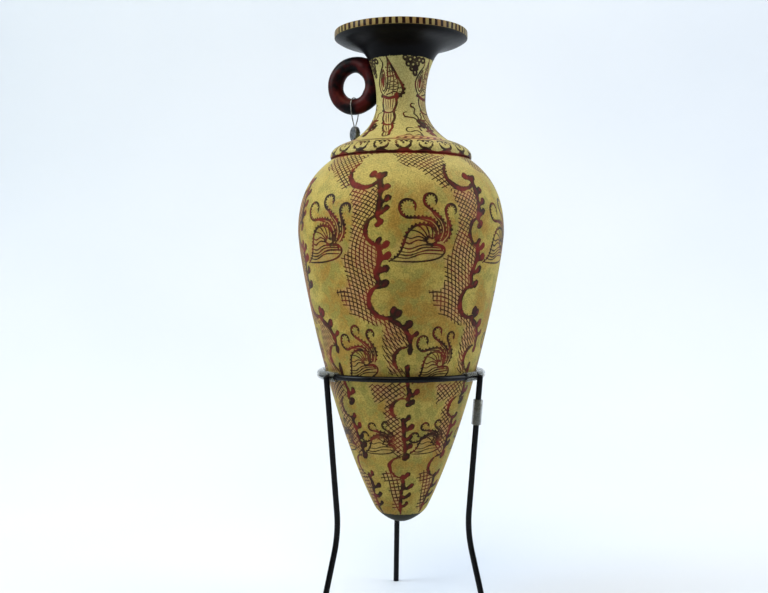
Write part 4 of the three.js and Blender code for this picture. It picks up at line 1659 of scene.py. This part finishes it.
@dataclass
class Stand:
    """The rod stand: a ring and three bent legs welded to its outside."""

    outline: Outline
    rod_radius: float = 2.0
    ring_above_floor: float = 162.4
    back_azimuth: float = 114.8
    leg_top_above_ring: float = 1.2
    knee_radius: float = 50.2
    knee_above_floor: float = 57.5
    knee_bend: float = 14.0
    foot_radius: float = 64.2
    below_floor: float = 4.0
    joint_gap: float = 0.3
    sleeve_radius: float = 3.3
    seat_gap: float = 0.3
    sides: int = 20
    ring_steps: int = 144
    cap_steps: int = 6
    cap_start: float = 0.12
    straight_shares: tuple[float, float, int] = (0.08, 1.0, 9)
    bend_steps: int = 14
    foot_shares: Numbers = (0.4, 0.8, 1.0)
    weld_size: tuple[float, float, float] = (1.7, 2.3, 2.0)
    weld_lumps: float = 0.10
    weld_grain: float = 0.9
    finish: PatchyFinish = ROD_LACQUER

    def __post_init__(self) -> None:
        """Works out the ring's radius from the vessel that rests on its sleeves."""
        clearance = self.sleeve_radius + self.seat_gap
        self.ring_radius = self.outline.radius_at("lower_body", self.ring_above_floor, clearance)
        self.leg_top_radius = self.ring_radius + 2 * self.rod_radius + self.joint_gap

    def leg_ends(self, azimuth: float) -> tuple[Vector, Vector, Vector]:
        """Gives a leg's top, knee and foot."""
        top = around(self.leg_top_radius, azimuth, self.ring_above_floor + self.leg_top_above_ring)
        knee = around(self.knee_radius, azimuth, self.knee_above_floor)
        return top, knee, around(self.foot_radius, azimuth, 0)

    def leg_path(self, azimuth: float) -> tuple[list[Vector], list[float]]:
        """Gives a leg's centre line and the rod's size along it, rounded over at the top."""
        top, knee, foot = self.leg_ends(azimuth)
        down = (knee - top).normalized()
        start = knee - down * self.knee_bend
        out = (foot - knee).normalized()
        end = knee + out * self.knee_bend
        path = []
        sizes = []
        for i in range(self.cap_steps + 1):
            turn = 0.5 * math.pi * (self.cap_start + (1 - self.cap_start) * i / self.cap_steps)
            path.append(top + down * self.rod_radius * (1 - math.cos(turn)))
            sizes.append(math.sin(turn))
        path.extend(top.lerp(start, share) for share in np.linspace(*self.straight_shares))
        for share in (i / self.bend_steps for i in range(1, self.bend_steps + 1)):
            path.append(start * (1 - share) ** 2 + knee * 2 * share * (1 - share) + end * share**2)
        path.extend(end.lerp(foot + out * self.below_floor, share) for share in self.foot_shares)
        return path, sizes + [1.0] * (len(path) - len(sizes))

    def make_ring(self, material: Material) -> Piece:
        """Builds the closed ring."""
        mesh = bmesh.new()
        azimuths = [360 * i / self.ring_steps for i in range(self.ring_steps)]
        path = [around(self.ring_radius, azimuth, self.ring_above_floor) for azimuth in azimuths]
        sweep_loop(mesh, round_section(self.rod_radius, self.sides), path, Vector((0, 0, 1)), True)
        return finish_piece(mesh, "ring_rod", "stand_ring", material, 60.0)

    def add_weld(self, mesh: BMesh, azimuth: float) -> None:
        """Adds the lumpy weld bead that joins a leg to the ring."""
        middle = self.ring_radius + self.rod_radius + 0.5 * self.joint_gap
        centre = around(middle, azimuth, self.ring_above_floor)
        bead = bmesh.ops.create_icosphere(mesh, subdivisions=4, radius=1.0)["verts"]
        turn = Matrix.Rotation(math.radians(azimuth), 4, "Z")
        place = Matrix.Translation(centre) @ turn @ Matrix.Diagonal(self.weld_size).to_4x4()
        bmesh.ops.transform(mesh, matrix=place, verts=bead)
        for vert in bead:
            away = vert.co - centre
            vert.co += away * self.weld_lumps * noise.noise(vert.co * self.weld_grain)

    def make_leg(self, azimuth: float, name: str, node: str,
                 material: Material) -> Piece:
        """Builds one leg, cut flat on the floor, with its weld to the ring."""
        mesh = bmesh.new()
        path, sizes = self.leg_path(azimuth)
        section = round_section(self.rod_radius, self.sides)
        sweep_loop(mesh, section, path, around(1, azimuth + 90, 0), sizes=sizes)
        geometry = mesh.verts[:] + mesh.edges[:] + mesh.faces[:]
        cut = bmesh.ops.bisect_plane(mesh, geom=geometry, dist=0.001, plane_co=(0, 0, 0), plane_no=(0, 0, -1),
                                     clear_outer=True)
        rim = [item for item in cut["geom_cut"] if isinstance(item, bmesh.types.BMEdge)]
        bmesh.ops.contextual_create(mesh, geom=rim)
        self.add_weld(mesh, azimuth)
        return finish_piece(mesh, name, node, material, 60.0)


@dataclass
class Tubing:
    """The clear tubing: two slit sleeves on the ring, and a loose one on the right leg."""

    stand: Stand
    wall: float = 0.75
    span: float = 90.0
    slit: float = 24.0
    left_azimuth: float = 196.0
    right_azimuth: float = 26.0
    arc_steps: int = 28
    span_steps: int = 60
    notch_gap: float = 0.5
    notch_depth: float = 16.0
    notch_sides: int = 28
    leg_length: float = 17.0
    leg_below_ring: float = 17.0
    leg_edge: float = 0.15
    leg_sides: int = 36
    finish: PatchyFinish = CLEAR_TUBING

    def make_ring_sleeve(self, azimuth: float, leg: float, name: str, node: str,
                         material: Material) -> Piece:
        """Builds one slit sleeve, notched where it passes a leg.

        Args:
            azimuth: Middle of the sleeve.
            leg: Azimuth of the leg in it.
            name: The piece's name.
            node: The node that it stands for.
            material: Its finish.

        Returns:
            The piece.
        """
        stand = self.stand
        half = math.radians(self.slit / 2)
        turns = [-math.pi / 2 + half + (FULL_TURN - 2 * half) * i / self.arc_steps
                 for i in range(self.arc_steps + 1)]
        section = arc_points(stand.sleeve_radius, turns)
        section += arc_points(stand.sleeve_radius - self.wall, turns[::-1])
        start = azimuth - self.span / 2
        path = [around(stand.ring_radius, start + self.span * i / self.span_steps, stand.ring_above_floor)
                for i in range(self.span_steps + 1)]
        mesh = bmesh.new()
        sweep_loop(mesh, section, path, -around(1, start, 0))
        piece = finish_piece(mesh, name, node, material, 50.0)
        self.cut_notch(piece, leg)
        return piece

    def cut_notch(self, piece: Piece, leg: float) -> None:
        """Cuts the round notch that lets a leg pass."""
        stand = self.stand
        tool = bmesh.new()
        radius = (stand.rod_radius + self.notch_gap) * MM
        bmesh.ops.create_cone(tool, cap_ends=True, segments=self.notch_sides, radius1=radius, radius2=radius,
                              depth=self.notch_depth * MM)
        centre = around(stand.leg_top_radius, leg, stand.ring_above_floor) * MM
        bmesh.ops.translate(tool, vec=centre, verts=tool.verts)
        cutter = add_mesh("notch", tool)
        cut = piece.modifiers.new("notch", "BOOLEAN")
        cut.object = cutter
        cut.solver = "EXACT"
        bpy.context.view_layer.update()
        shaped = bpy.data.meshes.new_from_object(piece.evaluated_get(bpy.context.evaluated_depsgraph_get()))
        piece.modifiers.clear()
        old = piece.data
        piece.data = shaped
        spare = cutter.data
        bpy.data.objects.remove(cutter)
        for data in (old, spare):
            bpy.data.meshes.remove(data)
        shaped.name = piece.name

    def make_leg_sleeve(self, azimuth: float, material: Material) -> Piece:
        """Builds the loose sleeve as a walled tube round the leg."""
        top, knee, _ = self.stand.leg_ends(azimuth)
        down = (knee - top).normalized()
        start = top + down * self.leg_below_ring
        outer, inner, edge = self.stand.sleeve_radius, self.stand.sleeve_radius - self.wall, self.leg_edge
        profile = [(inner, 0), (outer - edge, 0), (outer, edge), (outer, self.leg_length - edge),
                   (outer - edge, self.leg_length), (inner, self.leg_length)]
        mesh = spin_profile(profile, self.leg_sides)
        turn = Vector((0, 0, 1)).rotation_difference(down).to_matrix().to_4x4()
        bmesh.ops.transform(mesh, matrix=Matrix.Translation(start) @ turn, verts=mesh.verts)
        return finish_piece(mesh, "leg_tube", "leg_sleeve", material, 50.0)


@dataclass
class Seal:
    """The lead seal on its wire, looped through the ring handle."""

    vessel: Vessel
    wire_radius: float = 0.4
    wire_gap: float = 0.3
    wire_bow: float = 0.9
    wire_drop: float = 13.6
    wire_sides: int = 12
    loop_steps: int = 12
    pressed_in: float = 2.0
    end_spacing: float = 3.0
    strand_spread: float = 1.1
    strand_rise: float = 2.2
    seal_radius: float = 5.5
    thickness: float = 4.0
    face_azimuth: float = 227.5
    dish_depth: float = 0.55
    edge: float = 0.8
    hatch_radius: float = 3.4
    hatch_depth: float = 0.16
    hatch_pitch: float = 2.6
    lump_size: float = 0.18
    lump_grain: float = 0.5
    lump_widening: float = 0.09
    lump_thickening: float = 0.25
    seal_sides: int = 64
    lead: PatchyFinish = SEAL_LEAD
    wire: PatchyFinish = SEAL_STEEL

    @property
    def wire_centre(self) -> float:
        """Height of the handle's lowest stretch, which the wire passes over."""
        return self.vessel.handle_height - self.vessel.ring_radius

    def make_wire(self) -> Piece:
        """Builds the wire, whose ends are pressed into the seal."""
        loop = self.vessel.clay_radius + self.wire_gap + self.wire_radius
        end = self.wire_centre - self.wire_drop - self.pressed_in
        over = []
        for i in range(self.loop_steps + 1):
            turn = math.pi * i / self.loop_steps
            reach = loop + self.wire_bow * abs(math.cos(turn))
            over.append((reach * math.cos(turn), self.wire_centre + reach * math.sin(turn)))

        def strand(side: int) -> list[Pair]:
            """Gives one strand from the seal up to the loop."""
            foot = side * self.end_spacing / 2
            return [(foot, end), (foot * self.strand_spread, end + self.strand_rise),
                    (side * (loop - self.wire_bow), self.wire_centre - self.wire_drop / 2)]

        flat = smooth_line([*strand(1), *over, *strand(-1)[::-1]], 5)
        path = [Vector((-self.vessel.handle_distance, y, z)) for y, z in flat]
        mesh = bmesh.new()
        sweep_loop(mesh, round_section(self.wire_radius, self.wire_sides), path, Vector((1, 0, 0)))
        return finish_piece(mesh, "seal_wire_loop", "seal_wire", self.wire.make(), 70.0)

    def disc(self) -> BMesh:
        """Gives the smooth disc, whose dished faces have a raised ring and a rounded edge."""
        half = self.thickness / 2
        dish, edge, rim = self.dish_depth, self.edge, self.seal_radius
        face = [(0.01, dish), (2.2, dish), (3.3, dish * 0.9), (3.8, 0.1), (4.3, 0), (rim - edge, 0.05),
                (rim - 0.25, 0.35), (rim, edge), (rim, half - 0.5)]
        upper = [(radius, half - depth) for radius, depth in face]
        lower = [(radius, -height) for radius, height in reversed(upper)]
        mesh = spin_profile(upper + lower, self.seal_sides, closed=False)
        bmesh.ops.remove_doubles(mesh, verts=mesh.verts, dist=0.03)
        bmesh.ops.subdivide_edges(mesh, edges=mesh.edges, cuts=1, use_grid_fill=True)
        return mesh

    def make_seal(self) -> Piece:
        """Builds the pressed disc, with a cross-hatched middle and a squeezed edge."""
        mesh = self.disc()
        for vert in mesh.verts:
            radius = math.hypot(vert.co.x, vert.co.y)
            hatch = sum(abs(math.sin(place * self.hatch_pitch)) for place in (vert.co.x, vert.co.y))
            middle = min(max((self.hatch_radius - radius) / 0.8, 0), 1)
            side = 1 if vert.co.z > 0 else -1
            vert.co.z += side * middle * self.hatch_depth * (hatch - 1.0)
            lump = self.lump_size * noise.noise(Vector((vert.co.x, vert.co.y, 0)) * self.lump_grain)
            vert.co.x *= 1 + self.lump_widening * lump * radius / self.seal_radius
            vert.co.z *= 1 + self.lump_thickening * lump
        height = self.wire_centre - self.wire_drop - self.wire_gap - self.seal_radius
        upright = Matrix.Rotation(math.radians(90), 4, "X")
        turn = Matrix.Rotation(math.radians(self.face_azimuth + 90), 4, "Z")
        place = Matrix.Translation((-self.vessel.handle_distance, 0, height)) @ turn @ upright
        bmesh.ops.transform(mesh, matrix=place, verts=mesh.verts)
        return finish_piece(mesh, "pressed_seal", "lead_seal", self.lead.make(), 60.0)


@dataclass(frozen=True)
class SoftLight:
    """A square soft light that faces the vessel. Its azimuth counts from the camera."""

    name: str
    azimuth: float
    distance: float
    height: float
    size: float
    power: float
    colour: Colour


@dataclass(frozen=True)
class Studio:
    """Pale floor, soft light and the photograph's camera."""

    picture_width: int = 768
    picture_height: int = 593
    focal_pixels: float = 1064.0
    distance: float = 741.6
    eye_height: float = 221.6
    axis_column: float = 401.0
    horizon_row: float = 288.0
    sensor: float = 36.0
    near_clip: float = 0.01
    floor_size: float = 6000.0
    wall_distance: float = 900.0
    curve_radius: float = 600.0
    curve_turns: tuple[float, float, int] = (0.1, math.pi / 2, 16)
    paper_cool: Colour = (0.50, 0.55, 0.63)
    paper_pale: Colour = (0.61, 0.64, 0.70)
    paper_scale: float = 2.0
    paper_roughness: float = 0.9
    aim_height: float = 230.0
    lights: tuple[SoftLight, ...] = (
        SoftLight("left", -78, 1200, 950, 800, 18.0, (0.86, 0.97, 1.0)),
        SoftLight("right", 84, 1200, 700, 900, 13.5, (0.88, 0.95, 1.0)),
        SoftLight("front", -25, 750, 1500, 900, 15.5, (1.0, 0.84, 0.54)),
        SoftLight("back", 150, 500, 1400, 900, 8.0, (1.0, 1.0, 1.0)),
    )
    room_colour: Colour = (0.94, 0.97, 1.0)
    room_step: Numbers = (-0.25, 0.75, 0.74, 0.10)

    def make_camera(self) -> None:
        """Places the camera level with the horizon of the photograph."""
        data = bpy.data.cameras.new("camera")
        data.sensor_width = self.sensor
        data.lens = self.sensor * self.focal_pixels / self.picture_width
        data.shift_x = -(self.axis_column - self.picture_width / 2) / self.picture_width
        data.shift_y = (self.horizon_row - self.picture_height / 2) / self.picture_width
        data.clip_start = self.near_clip
        camera = add_object("camera", data)
        camera.location = around(self.distance, CAMERA_AZIMUTH, self.eye_height) * MM
        aim = Vector((-camera.location.x, -camera.location.y, 0))
        camera.rotation_euler = aim.to_track_quat("-Z", "Y").to_euler()
        bpy.context.scene.camera = camera

    def make_floor(self) -> None:
        """Builds the floor, which curves up into a wall behind."""
        mesh = bmesh.new()
        half = self.floor_size / 2
        bend = self.curve_radius
        flat = self.wall_distance - bend
        profile = [(-half, 0), (flat, 0)]
        profile += [(flat + bend * math.sin(turn), bend - bend * math.cos(turn))
                    for turn in np.linspace(*self.curve_turns)]
        profile.append((self.wall_distance, self.floor_size))
        start = [mesh.verts.new((-half, y, z)) for y, z in profile]
        edges = [mesh.edges.new(pair) for pair in zip(start, start[1:])]
        made = bmesh.ops.extrude_edge_only(mesh, edges=edges)["geom"]
        moved = [item for item in made if isinstance(item, bmesh.types.BMVert)]
        bmesh.ops.translate(mesh, vec=(self.floor_size, 0, 0), verts=moved)
        turn = Matrix.Rotation(math.radians(CAMERA_AZIMUTH + 90), 4, "Z")
        bmesh.ops.transform(mesh, matrix=turn, verts=mesh.verts)
        bmesh.ops.scale(mesh, vec=(MM, MM, MM), verts=mesh.verts)
        for face in mesh.faces:
            face.smooth = True
        floor = add_mesh("studio_floor", mesh)
        material, nodes, shader = new_material("studio_paper")
        tone = nodes.noise(nodes.object_place(), self.paper_scale)
        nodes.feed_all(shader, {"Base Color": nodes.blend(tone, self.paper_cool, self.paper_pale),
                                "Roughness": self.paper_roughness})
        floor.data.materials.append(material)

    def make_light(self, light: SoftLight) -> None:
        """Adds one soft light."""
        data = bpy.data.lights.new(light.name, "AREA")
        data.size = light.size * MM
        data.energy = light.power
        data.color = light.colour
        lamp = add_object(light.name, data)
        lamp.location = around(light.distance, CAMERA_AZIMUTH + light.azimuth, light.height) * MM
        aim = Vector((0, 0, self.aim_height * MM)) - lamp.location
        lamp.rotation_euler = aim.to_track_quat("-Z", "Y").to_euler()

    def make_room(self) -> None:
        """Adds the faint light of a room, which is brighter behind the vessel than behind the camera."""
        world = bpy.data.worlds.new("soft_room")
        world.use_nodes = True
        nodes = Nodes(world.node_tree)
        background = world.node_tree.nodes["Background"]
        x, y, _ = nodes.split(nodes.add("ShaderNodeTexCoord").outputs["Generated"])
        front = around(1.0, CAMERA_AZIMUTH, 0.0)
        facing = nodes.plus(nodes.times(x, front.x), nodes.times(y, front.y))
        nodes.feed_all(background, {"Color": self.room_colour,
                                    "Strength": nodes.between(facing, *self.room_step)})
        bpy.context.scene.world = world

    def make(self) -> None:
        """Builds the whole studio."""
        self.make_camera()
        self.make_floor()
        for light in self.lights:
            self.make_light(light)
        self.make_room()
        bpy.context.scene.view_settings.view_transform = "Standard"


def main() -> None:
    """Builds every piece and the studio."""
    logging.basicConfig(level=logging.INFO, format="%(name)s: %(message)s", stream=sys.stdout)
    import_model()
    studio = Studio()
    studio.make()
    vessel = Vessel()
    vessel.make_body()
    vessel.make_handle()
    stand = Stand(vessel.outline)
    rod = stand.finish.make()
    stand.make_ring(rod)
    legs = {name: stand.back_azimuth + 120 * i for i, name in enumerate(("back", "left", "right"))}
    for name, azimuth in legs.items():
        stand.make_leg(azimuth, f"leg_{name}_rod", f"stand_leg_{name}", rod)
    tubing = Tubing(stand)
    clear = tubing.finish.make()
    for side, azimuth in (("left", tubing.left_azimuth), ("right", tubing.right_azimuth)):
        tubing.make_ring_sleeve(azimuth, legs[side], f"{side}_ring_tube", f"ring_sleeve_{side}", clear)
    tubing.make_leg_sleeve(legs["right"], clear)
    seal = Seal(vessel)
    seal.make_wire()
    seal.make_seal()


if __name__ == "__main__":
    main()
